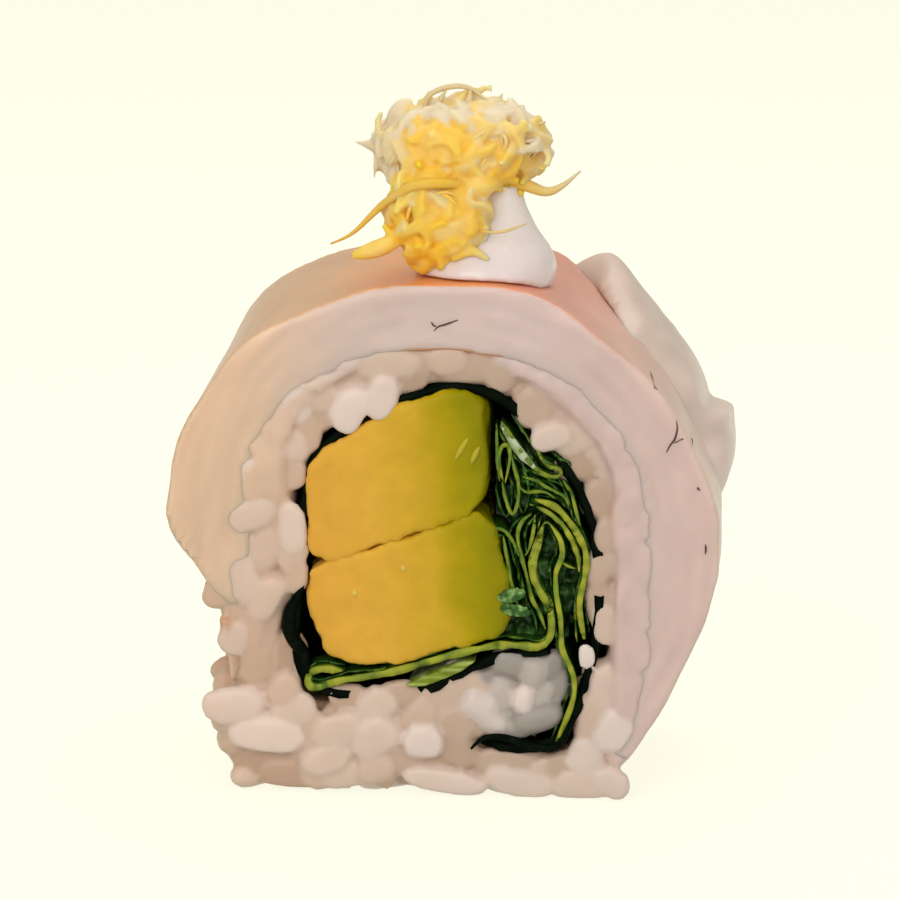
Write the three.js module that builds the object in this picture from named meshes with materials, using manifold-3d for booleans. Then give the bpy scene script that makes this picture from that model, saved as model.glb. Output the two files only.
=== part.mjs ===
// One cut piece of an inside-out sushi roll, lying on its side with both cuts upright: rice round a sheet
// of seaweed, avocado and salad leaves inside it, two slices of raw white fish over it, and cream with zest
// on top. Millimetres. X runs along the cut face, Y from the front cut to the back cut, Z up. The origin is
// on the table, under the middle of the flat foot.
import * as THREE from "three";
import { mergeVertices } from "three/addons/utils/BufferGeometryUtils.js";
import Module from "manifold-3d";

const wasm = await Module();
wasm.setup();
const { Manifold, Mesh } = wasm;

// Driving dimensions
const DEPTH = 24; // from cut to cut
const FRONT = -DEPTH / 2;
const BACK = DEPTH / 2;
const GAP = 0.3; // left between pieces that touch
const SHEET = 0.5; // thickness of the seaweed
const LEAF = 0.4; // thickness of a leaf

// The rice under the fish is a rounded square in section: a superellipse with its own power in each quarter
const RICE = { halfWidth: 15.4, centre: 21, top: 13.4, bottom: 21.6 };
const POWER = { topRight: 2.05, topLeft: 2.3, bottomLeft: 4.4, bottomRight: 3.6 };
// Where the rice bulges past the fish, low on the left, in degrees
const HEEL = { from: 195, full: 203, last: 230, to: 250, out: 2.8 };
const GRAIN = { length: 6, width: 2.7, proud: 1.2, apart: 2.55 };

// Fish: full thickness over the top, thin at the two hanging ends. Its ends are in degrees round the roll
// from +X, and its thickness falls between two heights on each side
const FISH = { full: 4.8, flap: 1.3, edge: 0.7, slack: 0.55, swell: 1.4, rightEnd: -42, leftEnd: 198 };
const FALL = { right: [4.5, 18.5], left: [14.5, 19.5], ends: [3, 8] };
const BACK_SLICE = {
  seamEnd: -0.2, backEnd: -2.3, to: 68, lobes: [-2.3, 13, 37, 68], bulge: 0.8, corner: 0.9,
};
// Where the two slices meet: its place along Y low on the right, and the degrees between which it runs back
const SEAM = { low: -3.5, from: 34, to: 76, slant: 1.4 };

const clamp = THREE.MathUtils.clamp;
const mix = THREE.MathUtils.lerp;
const smooth = THREE.MathUtils.smoothstep;
const radians = THREE.MathUtils.degToRad;

// Repeatable draws, so that the piece comes out the same every time
function dice(seed) {
  let state = seed;
  return (low = 0, high = 1) => {
    state = (state + 0x6d2b79f5) | 0;
    let t = Math.imul(state ^ (state >>> 15), 1 | state);
    t = (t + Math.imul(t ^ (t >>> 7), 61 | t)) ^ t;
    return low + (high - low) * (((t ^ (t >>> 14)) >>> 0) / 4294967296);
  };
}

// Solids and geometries
function solidOf(geometry) {
  const bare = new THREE.BufferGeometry();
  bare.setAttribute("position", geometry.getAttribute("position"));
  if (geometry.index) bare.setIndex(geometry.index);
  const merged = mergeVertices(bare, 1e-4);
  const mesh = { numProp: 3, vertProperties: merged.attributes.position.array };
  const made = new Manifold(new Mesh({ ...mesh, triVerts: new Uint32Array(merged.index.array) }));
  if (made.volume() > 0) return made;
  const turned = new Uint32Array(merged.index.array).reverse();
  return new Manifold(new Mesh({ ...mesh, triVerts: turned }));
}

function geometryOf(solid) {
  const mesh = solid.getMesh();
  const positions = new Float32Array(mesh.numVert * 3);
  for (let i = 0; i < mesh.numVert; i++) {
    positions.set(mesh.vertProperties.subarray(i * mesh.numProp, i * mesh.numProp + 3), i * 3);
  }
  const geometry = new THREE.BufferGeometry();
  geometry.setAttribute("position", new THREE.BufferAttribute(positions, 3));
  geometry.setIndex(new THREE.BufferAttribute(new Uint32Array(mesh.triVerts), 1));
  geometry.computeVertexNormals();
  return geometry;
}

// The largest body of a solid: drops loose scraps and fills hollows that fusing sealed
const largest = (solid) => solid.decompose().sort((a, b) => b.volume() - a.volume())[0];

// A closed solid between two faces split alike; place(u, v, face) gives a corner, u and v from 0 to 1
function slab(stepsU, stepsV, place) {
  const positions = [];
  const index = [];
  for (const face of [0, 1]) {
    for (let j = 0; j <= stepsV; j++) {
      for (let i = 0; i <= stepsU; i++) positions.push(...place(i / stepsU, j / stepsV, face));
    }
  }
  const at = (i, j, face) => (face * (stepsV + 1) + j) * (stepsU + 1) + i;
  const quad = (a, b, c, d) => index.push(a, b, c, a, c, d);
  for (let j = 0; j < stepsV; j++) {
    for (let i = 0; i < stepsU; i++) {
      quad(at(i, j, 1), at(i + 1, j, 1), at(i + 1, j + 1, 1), at(i, j + 1, 1));
      quad(at(i, j, 0), at(i, j + 1, 0), at(i + 1, j + 1, 0), at(i + 1, j, 0));
    }
  }
  for (let i = 0; i < stepsU; i++) {
    quad(at(i, 0, 0), at(i + 1, 0, 0), at(i + 1, 0, 1), at(i, 0, 1));
    quad(at(i, stepsV, 1), at(i + 1, stepsV, 1), at(i + 1, stepsV, 0), at(i, stepsV, 0));
  }
  for (let j = 0; j < stepsV; j++) {
    quad(at(0, j, 1), at(0, j + 1, 1), at(0, j + 1, 0), at(0, j, 0));
    quad(at(stepsU, j, 0), at(stepsU, j + 1, 0), at(stepsU, j + 1, 1), at(stepsU, j, 1));
  }
  const geometry = new THREE.BufferGeometry();
  geometry.setAttribute("position", new THREE.Float32BufferAttribute(positions, 3));
  geometry.setIndex(index);
  return solidOf(geometry);
}

// A smooth line through [x, z] points of the section
function sectionLine(points, closed = false) {
  const corners = points.map(([x, z]) => new THREE.Vector3(x, 0, z));
  return new THREE.CatmullRomCurve3(corners, closed, "centripetal");
}

// A sheet of even thickness that follows a section line from cut to cut
function ribbon(points, thickness, { steps, along = 2, from = FRONT, to = BACK, sway = 0, taper = 0 }) {
  const line = sectionLine(points);
  return slab(steps, along, (u, v, face) => {
    const centre = line.getPointAt(u);
    const heading = line.getTangentAt(u);
    const ends = taper ? Math.min(1, Math.sin(Math.PI * u) / taper + 0.15) : 1;
    const side = (face - 0.5) * thickness * ends + sway * Math.sin(Math.PI * v * 2 + u * 6);
    return [centre.x - heading.z * side, mix(from, to, v), centre.z + heading.x * side];
  });
}

// A solid with a closed outline in the section, run from cut to cut
function prism(points, steps, from = FRONT, to = BACK) {
  const corners = sectionLine(points, true).getSpacedPoints(steps).slice(0, steps);
  const shape = new THREE.Shape(corners.map((p) => new THREE.Vector2(p.x, p.z)));
  const geometry = new THREE.ExtrudeGeometry(shape, { depth: to - from, bevelEnabled: false });
  geometry.rotateX(Math.PI / 2).translate(0, to, 0);
  return solidOf(geometry);
}

// The roll's section: a point on the rice's outline, pushed out by so much, at an angle in degrees
function outline(degrees, out = 0) {
  const right = Math.cos(radians(degrees));
  const up = Math.sin(radians(degrees));
  const topPower = right > 0 ? POWER.topRight : POWER.topLeft;
  const bottomPower = right > 0 ? POWER.bottomRight : POWER.bottomLeft;
  const power = up > 0 ? topPower : bottomPower;
  const height = up > 0 ? RICE.top : RICE.bottom;
  const across = Math.abs(right) ** (2 / power);
  const rise = Math.abs(up) ** (2 / power);
  const normal = new THREE.Vector2(
    (Math.sign(right) * across ** (power - 1)) / RICE.halfWidth,
    (Math.sign(up) * rise ** (power - 1)) / height,
  ).normalize();
  return {
    x: Math.sign(right) * across * RICE.halfWidth + normal.x * out,
    z: RICE.centre + Math.sign(up) * rise * height + normal.y * out,
    normal,
  };
}

// Fish over the rice. Its front edge draws back low on the left, and the slices meet along a slanting seam
const frontEdge = (degrees) => FRONT + 2.6 * smooth(degrees, 181, 192);

function seam(degrees) {
  const reach = Math.max(smooth(degrees, SEAM.from, SEAM.to), smooth(-degrees, 3, 9));
  return mix(SEAM.low, BACK, reach);
}

function fishThickness(degrees) {
  const { z } = outline(degrees);
  const [low, high] = degrees > 90 ? FALL.left : FALL.right;
  const share = smooth(z, low, high);
  const end = smooth(z, ...FALL.ends);
  const lumps = 0.22 * Math.sin(radians(degrees * 5 + 70)) + 0.14 * Math.sin(radians(degrees * 11 + 40));
  const full = FISH.full - FISH.slack * smooth(degrees, -5, 15) * (1 - smooth(degrees, 50, 75));
  return mix(FISH.edge, mix(FISH.flap, full, share), end) + lumps * share;
}

// The front slice swells towards the back, high on the left
const rearSwell = (degrees) => FISH.swell * smooth(degrees, 98, 122) * (1 - smooth(degrees, 140, 165));

function backThickness(degrees) {
  const { lobes, bulge, corner } = BACK_SLICE;
  const next = lobes.findIndex((end, i) => i > 0 && degrees <= end);
  const share = (degrees - lobes[next - 1]) / (lobes[next] - lobes[next - 1]);
  const stepOut = next === 1 ? corner * smooth(share, 0, 0.7) : 0;
  return FISH.full + bulge * (Math.sin(Math.PI * share) - 0.6) + stepOut;
}

function frontSlice(margin = 0) {
  return slab(48, 4, (u, v, face) => {
    const past = (u === 1 ? 3 : u === 0 ? -3 : 0) * margin;
    const degrees = mix(FISH.rightEnd, FISH.leftEnd, u) + past;
    const out = face ? GAP + fishThickness(degrees) + rearSwell(degrees) * v + margin : GAP - margin;
    const rear = Math.min(seam(degrees) + face * SEAM.slant, BACK);
    const { x, z } = outline(degrees, out);
    return [x, mix(frontEdge(degrees) - margin, rear + margin, v), z];
  });
}

function backSlice(margin = 0) {
  const { seamEnd, backEnd, to } = BACK_SLICE;
  return slab(26, 2, (u, v, face) => {
    const degrees = mix(backEnd, to, u);
    const out = face ? GAP + backThickness(degrees) + margin : GAP - margin;
    const { x, z } = outline(mix(mix(seamEnd, backEnd, v) - margin * 2, to + margin * 2, u), out);
    return [x, mix(seam(degrees) - margin, BACK + margin, v), z];
  });
}

// The seaweed is rolled up from the outer end under the filling, round it, and ends inside its own first turn
const SEAWEED = [
  [2.8, 4.3], [5.7, 3.9], [8.5, 4.1], [10.1, 7], [11.5, 11.4], [11.8, 16], [11.6, 20.2], [10.5, 23.5],
  [8.1, 27.3], [5.3, 30.5], [2, 32], [-2.5, 31.2], [-6.9, 28.7], [-10, 26.3], [-10.6, 22.4], [-10.7, 17.1],
  [-11.6, 12.9], [-10.8, 7.9], [-7, 7.9], [-3.4, 7.6], [0.4, 8.5], [3.6, 10.4], [7.2, 10.9],
];
const FILLING_STARTS = 4; // the point of SEAWEED where its first turn closes

const AVOCADO_UPPER = [
  [-9.6, 25.6], [-6.6, 27.9], [-2.4, 30.3], [1.8, 31.1], [3.5, 30.2], [3.9, 27], [3.3, 22.8], [-1, 21.2],
  [-5.5, 19.7], [-9.5, 18.4], [-9.7, 22],
];
const AVOCADO_LOWER = [
  [-9.6, 17.5], [-5.4, 19], [-1, 20.5], [2.8, 21.9], [4, 18.6], [4.7, 14.6], [4.2, 13.1], [0.5, 12],
  [-3.8, 10.7], [-7.7, 10.8], [-9.1, 12.4], [-9.8, 15],
];

const LEAVES = {
  leaf_under: [
    [-7.2, 9.95], [-8.7, 10], [-9.9, 9.5], [-9.7, 8.7], [-8.3, 8.7], [-6, 9.35], [-3.8, 9.65], [-1, 10.6],
    [2.6, 11.85], [5.4, 12.1], [7.2, 12.4], [7.7, 13.6], [7.4, 15.2], [6.7, 17], [6.6, 18.8], [7.3, 20.6],
  ],
  leaf_tail: [
    [7.9, 21.6], [8.5, 20.4], [8.8, 18.7], [8.5, 17.2], [8.5, 15.4], [8.8, 13.7], [8.9, 11.6], [9.6, 10.2],
    [9.9, 8.9], [9, 6.7], [8, 5.2],
  ],
  leaf_outer: [
    [6.9, 22.3], [8, 22.5], [9.1, 21.8], [10, 20.7], [10.6, 19.2], [10.6, 17.6], [10.3, 15.8], [10.3, 13.9],
    [10.5, 12.6],
  ],
  leaf_inner: [
    [4.5, 22.2], [5.1, 20.8], [5.4, 18.9], [5.5, 17], [5.9, 15.2], [6.2, 13.6],
  ],
  leaf_folds: [
    [4.6, 29.3], [4.7, 27], [4.6, 24.7], [5.2, 23.3], [5.9, 24.1], [5.6, 25.6], [5.6, 26.9], [6.2, 26.8],
    [6.6, 25.4], [6.9, 24.4],
  ],
  leaf_top: [
    [5.2, 29.2], [6.8, 27.6], [7.7, 26.2], [8.6, 25.3], [8.8, 24.5], [7.9, 24.8], [7.6, 24.1], [8.7, 23.3],
    [9.8, 22.6],
  ],
};
const STEM = [[-3, 8.65], [-1, 9.3], [0.8, 10.1], [2.4, 10.8]];

// Rice: a plain core with grains pressed into its cuts and into the side below the fish
function heel(degrees) {
  return HEEL.out * smooth(degrees, HEEL.from, HEEL.full) * (1 - smooth(degrees, HEEL.last, HEEL.to));
}

const riceRing = Array.from({ length: 64 }, (_, i) => (i * 360) / 64)
  .map((degrees) => outline(degrees, heel(degrees)))
  .map((p) => [p.x, p.z]);
const seaweedLine = sectionLine(SEAWEED);
const seaweedWalk = seaweedLine.getSpacedPoints(80);
const fillingOutline = seaweedLine.points.slice(FILLING_STARTS).map((p) => [p.x, p.z]);

function distanceTo(walk, x, z) {
  return Math.min(...walk.map((p) => Math.hypot(p.x - x, p.z - z)));
}

function isInside(ring, x, z) {
  let inside = false;
  ring.forEach(([x1, z1], i) => {
    const [x2, z2] = ring[(i + 1) % ring.length];
    if (z1 > z !== z2 > z && x < ((x2 - x1) * (z - z1)) / (z2 - z1) + x1) inside = !inside;
  });
  return inside;
}

// How far a grain that points along an axis reaches from its centre, along Y
function reachAlongY(direction, length) {
  return Math.hypot(direction.y * length, Math.sqrt(1 - direction.y ** 2) * GRAIN.width) / 2;
}

function grainAt(centre, direction, length) {
  const geometry = new THREE.SphereGeometry(0.5, 6, 4).scale(GRAIN.width, length, GRAIN.width * 0.9);
  const turn = new THREE.Quaternion().setFromUnitVectors(new THREE.Vector3(0, 1, 0), direction.normalize());
  return solidOf(geometry.applyQuaternion(turn).translate(centre.x, centre.y, centre.z));
}

// Throws grain centres at a place until no more fit; draw() gives one, or nothing where it misses
function scatter(draw, throws) {
  const kept = [];
  for (let i = 0; i < throws; i++) {
    const point = draw();
    if (point && kept.every((other) => other.distanceTo(point) > GRAIN.apart)) kept.push(point);
  }
  return kept;
}

function cutGrains(roll, inward) {
  const inset = GRAIN.width * 0.55;
  const centres = scatter(() => {
    const x = roll(-RICE.halfWidth, RICE.halfWidth) * 1.1;
    const z = roll(1.2, RICE.centre + RICE.top);
    const clear = distanceTo(seaweedWalk, x, z) > inset;
    const onRice = isInside(riceRing, x, z) && !isInside(fillingOutline, x, z);
    return clear && onRice ? new THREE.Vector3(x, 0, z) : null;
  }, 4000);
  return centres.map((centre) => {
    const inPlane = roll() < 0.55;
    const tilt = inPlane ? roll(-0.2, 0.2) : roll(1, 2);
    const direction = new THREE.Vector3(roll(-1, 1), tilt, roll(-1, 1)).normalize();
    const length = GRAIN.length * roll(0.75, 1);
    centre.y = inward * (reachAlongY(direction, length) - DEPTH / 2 + roll(-0.2, 0.4));
    return grainAt(centre, direction, length);
  });
}

function underFish(degrees, y) {
  const onFront = degrees > FISH.rightEnd && degrees < FISH.leftEnd;
  const onBack = degrees > BACK_SLICE.backEnd && degrees < BACK_SLICE.to;
  return (onFront && y > frontEdge(degrees) && y < seam(degrees)) || (onBack && y > seam(degrees));
}

function sideGrains(roll) {
  const centres = scatter(() => {
    const degrees = roll(184, 350);
    const y = roll(FRONT + 2.5, BACK - 2.5);
    const { x, z } = outline(degrees, heel(degrees) + GRAIN.proud - GRAIN.width / 2);
    const hidden = z < 0.9 || underFish(degrees > 270 ? degrees - 360 : degrees, y);
    return hidden ? null : new THREE.Vector3(x, y, z);
  }, 1200);
  return centres.map((centre) => {
    const direction = new THREE.Vector3(roll(-0.3, 0.3), roll(-1, 1), roll(-0.5, 0.5));
    return grainAt(centre, direction, GRAIN.length * roll(0.8, 1));
  });
}

function makeRice() {
  const roll = dice(11);
  const face = GRAIN.proud;
  const core = prism(riceRing, 64, FRONT + face, BACK - face);
  const grains = [
    ...cutGrains(roll, 1),
    ...cutGrains(roll, -1),
    ...sideGrains(roll),
  ];
  const wide = 2 * GAP;
  const hole = prism(fillingOutline, 60, FRONT - 9, BACK + 9);
  const sheetCut = ribbon(SEAWEED, SHEET + wide, { steps: 60, along: 1, from: FRONT - 9, to: BACK + 9 });
  const through = { steps: 20, along: 1, from: FRONT - 9, to: BACK + 9 };
  const leafCut = ribbon(LEAVES.leaf_tail, LEAF + wide, through);
  const floor = solidOf(new THREE.BoxGeometry(90, 90, 20).translate(0, 0, -10));
  const cuts = [hole, sheetCut, leafCut, floor, frontSlice(GAP), backSlice(GAP)];
  return largest(Manifold.union([core, ...grains]).subtract(Manifold.union(cuts)));
}

// Cream: a dollop with a pulled peak, standing on the fish near the front cut
const CREAM = { x: 2.5, y: -5.4, foot: 38.5, radius: 5.5, lean: 1.8, height: 10.4 };
const CREAM_PROFILE = [
  [0, 1], [0.16, 0.99], [0.28, 0.84], [0.42, 0.6], [0.6, 0.38], [0.82, 0.23], [0.96, 0.14],
];

function makeCream(margin = 0) {
  const edge = CREAM_PROFILE.map(([h, r]) => new THREE.Vector2(r * CREAM.radius + margin, h * CREAM.height));
  const tip = new THREE.Vector2(0, CREAM.height + margin);
  const profile = [new THREE.Vector2(0, -margin), edge[0].clone().setY(-margin), ...edge.slice(1), tip];
  const geometry = new THREE.LatheGeometry(profile, 20).rotateX(Math.PI / 2);
  const position = geometry.attributes.position;
  for (let i = 0; i < position.count; i++) {
    const height = position.getZ(i) / CREAM.height;
    position.setX(i, position.getX(i) + CREAM.lean * clamp(height, 0, 1));
  }
  return solidOf(geometry.translate(CREAM.x, CREAM.y, CREAM.foot));
}

// Zest: a heap of fine shreds round the peak and down the front of the cream
const HEAPS = [
  { centre: [1.4, -5.9, 49.5], radii: [5.2, 4.2, 3.5], shreds: 18 },
  { centre: [-0.5, -8.2, 44.4], radii: [4.1, 2.5, 4], shreds: 12 },
];
const STRANDS = [
  [[-1.6, -8, 46.4], [-3.8, -8, 45.4], [-5.6, -7.8, 43.6], [-7.6, -7.4, 41.6]],
  [[4.2, -6, 47.9], [6.6, -6.2, 46.6], [8.3, -6.2, 46.9], [9.4, -6.2, 48]],
  [[-2.4, -9, 42], [-4.6, -9.2, 40.9], [-6.3, -9.2, 40.6]],
  [[-3.2, -5.4, 48.6], [-4.8, -5.6, 49.4], [-6.2, -5.6, 49.9]],
];

function strand(points, width, thickness, steps) {
  const line = new THREE.CatmullRomCurve3(points.map((p) => new THREE.Vector3(...p)));
  const shape = new THREE.Shape([
    new THREE.Vector2(-width / 2, -thickness / 2),
    new THREE.Vector2(width / 2, -thickness / 2),
    new THREE.Vector2(0, thickness / 2),
  ]);
  return solidOf(new THREE.ExtrudeGeometry(shape, { steps, extrudePath: line, bevelEnabled: false }));
}

function makeZest() {
  const roll = dice(5);
  const pieces = STRANDS.map((points) => strand(points, 0.8, 0.7, 4));
  for (const { centre, radii, shreds } of HEAPS) {
    const middle = new THREE.Vector3(...centre);
    const core = new THREE.SphereGeometry(1, 8, 6).scale(...radii.map((r) => r * 0.9));
    pieces.push(solidOf(core.translate(...centre)));
    for (let i = 0; i < shreds; i++) {
      const height = mix(-0.75, 0.95, (i + 0.5) / shreds);
      const turn = i * 2.4 + roll(-0.3, 0.3);
      const level = Math.sqrt(1 - height ** 2);
      const out = new THREE.Vector3(level * Math.cos(turn), level * Math.sin(turn), height);
      const across = new THREE.Vector3(roll(-1, 1), roll(-1, 1), roll(-1, 1)).cross(out).normalize();
      const base = out.clone().multiply(new THREE.Vector3(...radii));
      const reach = roll(1.6, 2.6);
      const points = [-1, 0, 1].map((s) => {
        const lift = s === 0 ? 0.96 : 0.82 + 0.3 * roll();
        return base.clone().multiplyScalar(lift).addScaledVector(across, s * reach).add(middle).toArray();
      });
      pieces.push(strand(points, roll(0.8, 1.3), roll(0.6, 0.9), 2));
    }
  }
  return largest(Manifold.union(pieces).subtract(makeCream(GAP)).subtract(frontSlice(GAP)));
}

// Materials: [colour, roughness]
const FINISH = {
  rice: ["#dcc8bd", 0.45],
  seaweed: ["#10160c", 0.6],
  avocado: ["#c2a025", 0.5],
  leaf: ["#4f7a1c", 0.5],
  fish: ["#d8bbaa", 0.35],
  cream: ["#efe6df", 0.4],
  zest: ["#efbf4a", 0.55],
};

const group = new THREE.Group();
function add(name, finish, solid) {
  const [color, roughness] = FINISH[finish];
  const material = new THREE.MeshStandardMaterial({ color, roughness, metalness: 0 });
  const mesh = new THREE.Mesh(geometryOf(solid), material);
  mesh.name = name;
  group.add(mesh);
}

add("rice", "rice", makeRice());
add("seaweed", "seaweed", ribbon(SEAWEED, SHEET, { steps: 66, along: 1 }));
add("avocado_upper", "avocado", prism(AVOCADO_UPPER, 26));
add("avocado_lower", "avocado", prism(AVOCADO_LOWER, 26));
for (const [name, points] of Object.entries(LEAVES)) {
  add(name, "leaf", ribbon(points, LEAF, { steps: points.length * 2, sway: 0.08 }));
}
add("leaf_stem", "leaf", ribbon(STEM, 0.8, { steps: 8, taper: 0.8 }));
add("fish_front", "fish", frontSlice());
add("fish_back", "fish", largest(backSlice().subtract(frontSlice(GAP))));
add("cream", "cream", makeCream().subtract(frontSlice(GAP)));
add("zest", "zest", makeZest());

export default group;
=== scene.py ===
"""Looks of one cut piece of an inside-out roll: rice, seaweed, avocado, leaves, raw fish, cream and zest.

Blender works in metres. The sizes below are in millimetres and are scaled as each piece is made.
"""
import math

import bpy
import numpy as np
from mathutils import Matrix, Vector, bvhtree


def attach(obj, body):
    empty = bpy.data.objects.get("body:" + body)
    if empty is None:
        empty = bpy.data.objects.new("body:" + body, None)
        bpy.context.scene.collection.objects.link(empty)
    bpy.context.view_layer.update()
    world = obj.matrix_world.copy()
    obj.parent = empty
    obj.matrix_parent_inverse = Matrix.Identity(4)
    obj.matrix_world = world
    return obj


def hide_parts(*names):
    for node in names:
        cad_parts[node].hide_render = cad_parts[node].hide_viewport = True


MM = 0.001
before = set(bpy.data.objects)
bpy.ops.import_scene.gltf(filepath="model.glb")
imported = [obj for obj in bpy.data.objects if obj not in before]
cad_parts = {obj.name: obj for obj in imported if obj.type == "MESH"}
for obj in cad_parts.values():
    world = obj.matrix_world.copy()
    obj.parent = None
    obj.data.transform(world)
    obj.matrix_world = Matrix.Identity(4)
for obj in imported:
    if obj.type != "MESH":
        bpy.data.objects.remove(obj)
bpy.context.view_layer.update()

# Driving dimensions, in mm
FRONT, BACK = -12, 12
SECTION = {"half": 15.4, "centre": 21, "top": 13.4, "bottom": 21.6}
ROUNDNESS = {"top_right": 2.05, "top_left": 2.3, "bottom_left": 4.4, "bottom_right": 3.6}
HEEL = {"from": 195, "full": 203, "last": 230, "to": 250, "out": 2.8}
SIGHT = {"turn": 5, "lift": 11, "away": 300, "aim": (0.5, -12, 27), "lens": 160.7}

# Where the front cut stands in the picture: pixels of its middle and foot, pixels to the millimetre, and the
# pixel that the camera aims at. A place further back is seen so much further aside and up for each mm.
PICTURE = {"middle": 443, "foot": 805, "across": 13.4, "up": 13.15, "aim": 450}
SEEN_ASIDE, SEEN_UP = 0.0875, 0.194

dice = np.random.default_rng(7)


# ---------------------------------------------------------------- small helpers
def smooth(value, low, high):
    t = np.clip((np.asarray(value, float) - low) / (high - low), 0, 1)
    return t * t * (3 - 2 * t)


def mix(a, b, share):
    return a + (b - a) * share


def shades(low, high, share):
    """Colours between two, one for each share."""
    return mix(np.asarray(low, float), np.asarray(high, float), np.asarray(share)[..., None])


def unit(vector):
    return vector / np.linalg.norm(vector)


def from_cut(points):
    """How far points lie behind the nearer cut, in mm."""
    return np.minimum(points[:, 1] - FRONT, BACK - points[:, 1])


def at_pixel(px, py):
    """The place on the front cut, in mm, that the picture shows at a pixel."""
    return (px - PICTURE["middle"]) / PICTURE["across"], (PICTURE["foot"] - py) / PICTURE["up"]


def on_cut(px, py, y):
    x, z = at_pixel(px, py)
    return x, y, z


def seen_at(px, py, y):
    """The place at a depth in mm that the picture shows at a pixel."""
    back, aim = y - FRONT, PICTURE["aim"]
    nearer = 1 + back / SIGHT["away"]
    x, z = at_pixel(aim + (px - aim) * nearer, aim + (py - aim) * nearer)
    return x - SEEN_ASIDE * back, y, z - SEEN_UP * back


def linear(colour):
    """A colour given as it is seen, 0 to 255, in the light that Blender mixes."""
    seen = np.asarray(colour, float) / 255
    return np.where(seen <= 0.04045, seen / 12.92, ((seen + 0.055) / 1.055) ** 2.4)


def section_point(degrees, out=0.0):
    """A point of the rice's outline in the section, pushed out by so many mm."""
    right, up = math.cos(math.radians(degrees)), math.sin(math.radians(degrees))
    power = ROUNDNESS[("top" if up > 0 else "bottom") + ("_right" if right > 0 else "_left")]
    height = SECTION["top"] if up > 0 else SECTION["bottom"]
    across, rise = abs(right) ** (2 / power), abs(up) ** (2 / power)
    nx = math.copysign(across ** (power - 1), right) / SECTION["half"]
    nz = math.copysign(rise ** (power - 1), up) / height
    size = math.hypot(nx, nz)
    x = math.copysign(across, right) * SECTION["half"] + nx / size * out
    return x, SECTION["centre"] + math.copysign(rise, up) * height + nz / size * out


def heel(degrees):
    rise = smooth(degrees, HEEL["from"], HEEL["full"])
    return float(HEEL["out"] * rise * (1 - smooth(degrees, HEEL["last"], HEEL["to"])))


def curve_through(points, steps):
    """Evenly walked points of a smooth line through the given ones."""
    p = np.asarray(points, float)
    p = np.vstack([2 * p[0] - p[1], p, 2 * p[-1] - p[-2]])
    line = []
    for i in range(1, len(p) - 2):
        a, b, c, d = p[i - 1 : i + 3]
        for t in np.linspace(0, 1, 12, endpoint=False):
            bend = (2 * a - 5 * b + 4 * c - d) * t**2 + (3 * b - a - 3 * c + d) * t**3
            line.append(0.5 * (2 * b + (c - a) * t + bend))
    line = np.array(line + [p[-2]])
    walked = np.concatenate([[0], np.cumsum(np.linalg.norm(np.diff(line, axis=0), axis=1))])
    even = np.linspace(0, walked[-1], steps)
    return np.stack([np.interp(even, walked, line[:, k]) for k in range(line.shape[1])], axis=1)


def tints_along(x, table):
    """Colours at places along X, between the places and colours of a table."""
    tints = np.array(list(table.values()), float)
    return np.stack([np.interp(x, list(table), tints[:, k]) for k in range(3)], axis=-1)


def wave(points, size, seed):
    """Soft unevenness from -1 to 1 at points in mm, with humps of about so many mm."""
    own = np.random.default_rng(seed)
    total = np.zeros(len(points))
    for octave in range(3):
        for _ in range(4):
            direction = own.normal(size=points.shape[1])
            direction *= 2 * math.pi / (size * 0.5**octave) / np.linalg.norm(direction)
            total += 0.5**octave * np.sin(points @ direction + own.uniform(0, 6.28))
    return np.clip(total / 4, -1, 1)


def mottled(points, size, seed, level=0.5, strength=1.0):
    """The same as shares from 0 to 1, about a level."""
    return np.clip(level + strength * wave(points, size, seed), 0, 1)


# ---------------------------------------------------------------- work at the bench
def deselect_all():
    for thing in bpy.context.selected_objects:
        thing.select_set(False)


def only(piece):
    deselect_all()
    piece.select_set(True)
    bpy.context.view_layer.objects.active = piece


def named(name):
    piece = bpy.context.active_object
    piece.name = name
    piece.data.name = name
    only(piece)
    bpy.ops.object.transform_apply(location=True, rotation=True, scale=True)
    return piece


def edit(piece, wanted=None):
    """Opens a piece for editing with the points selected whose place, in mm, is wanted."""
    only(piece)
    bpy.ops.object.mode_set(mode="EDIT")
    bpy.ops.mesh.select_mode(type="VERT")
    bpy.ops.mesh.select_all(action="SELECT" if wanted is None else "DESELECT")
    if wanted:
        bpy.ops.object.mode_set(mode="OBJECT")
        for vertex in piece.data.vertices:
            vertex.select = bool(wanted(vertex.co / MM))
        bpy.ops.object.mode_set(mode="EDIT")


def done():
    bpy.ops.object.mode_set(mode="OBJECT")


def finish_with(piece, kind, **settings):
    only(piece)
    modifier = piece.modifiers.new(kind.lower(), kind)
    for key, value in settings.items():
        setattr(modifier, key, value)
    bpy.ops.object.modifier_apply(modifier=modifier.name)


def lumpy(piece, size, height):
    """Pushes a piece's surface in and out by so many mm, in humps of so many mm."""
    lumps = bpy.data.textures.new(piece.name + "_lumps", "CLOUDS")
    lumps.noise_scale = size * MM
    lumps.noise_depth = 2
    finish_with(piece, "DISPLACE", texture=lumps, texture_coords="LOCAL", strength=2 * height * MM, mid_level=0.5)


def shade_round(piece):
    only(piece)
    bpy.ops.object.shade_smooth()


def refine(piece, voxel, rounds):
    """Remeshes a piece evenly, in mm, and rounds its edges."""
    finish_with(piece, "REMESH", mode="VOXEL", voxel_size=voxel * MM)
    finish_with(piece, "SMOOTH", factor=0.5, iterations=rounds)
    shade_round(piece)


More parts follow.
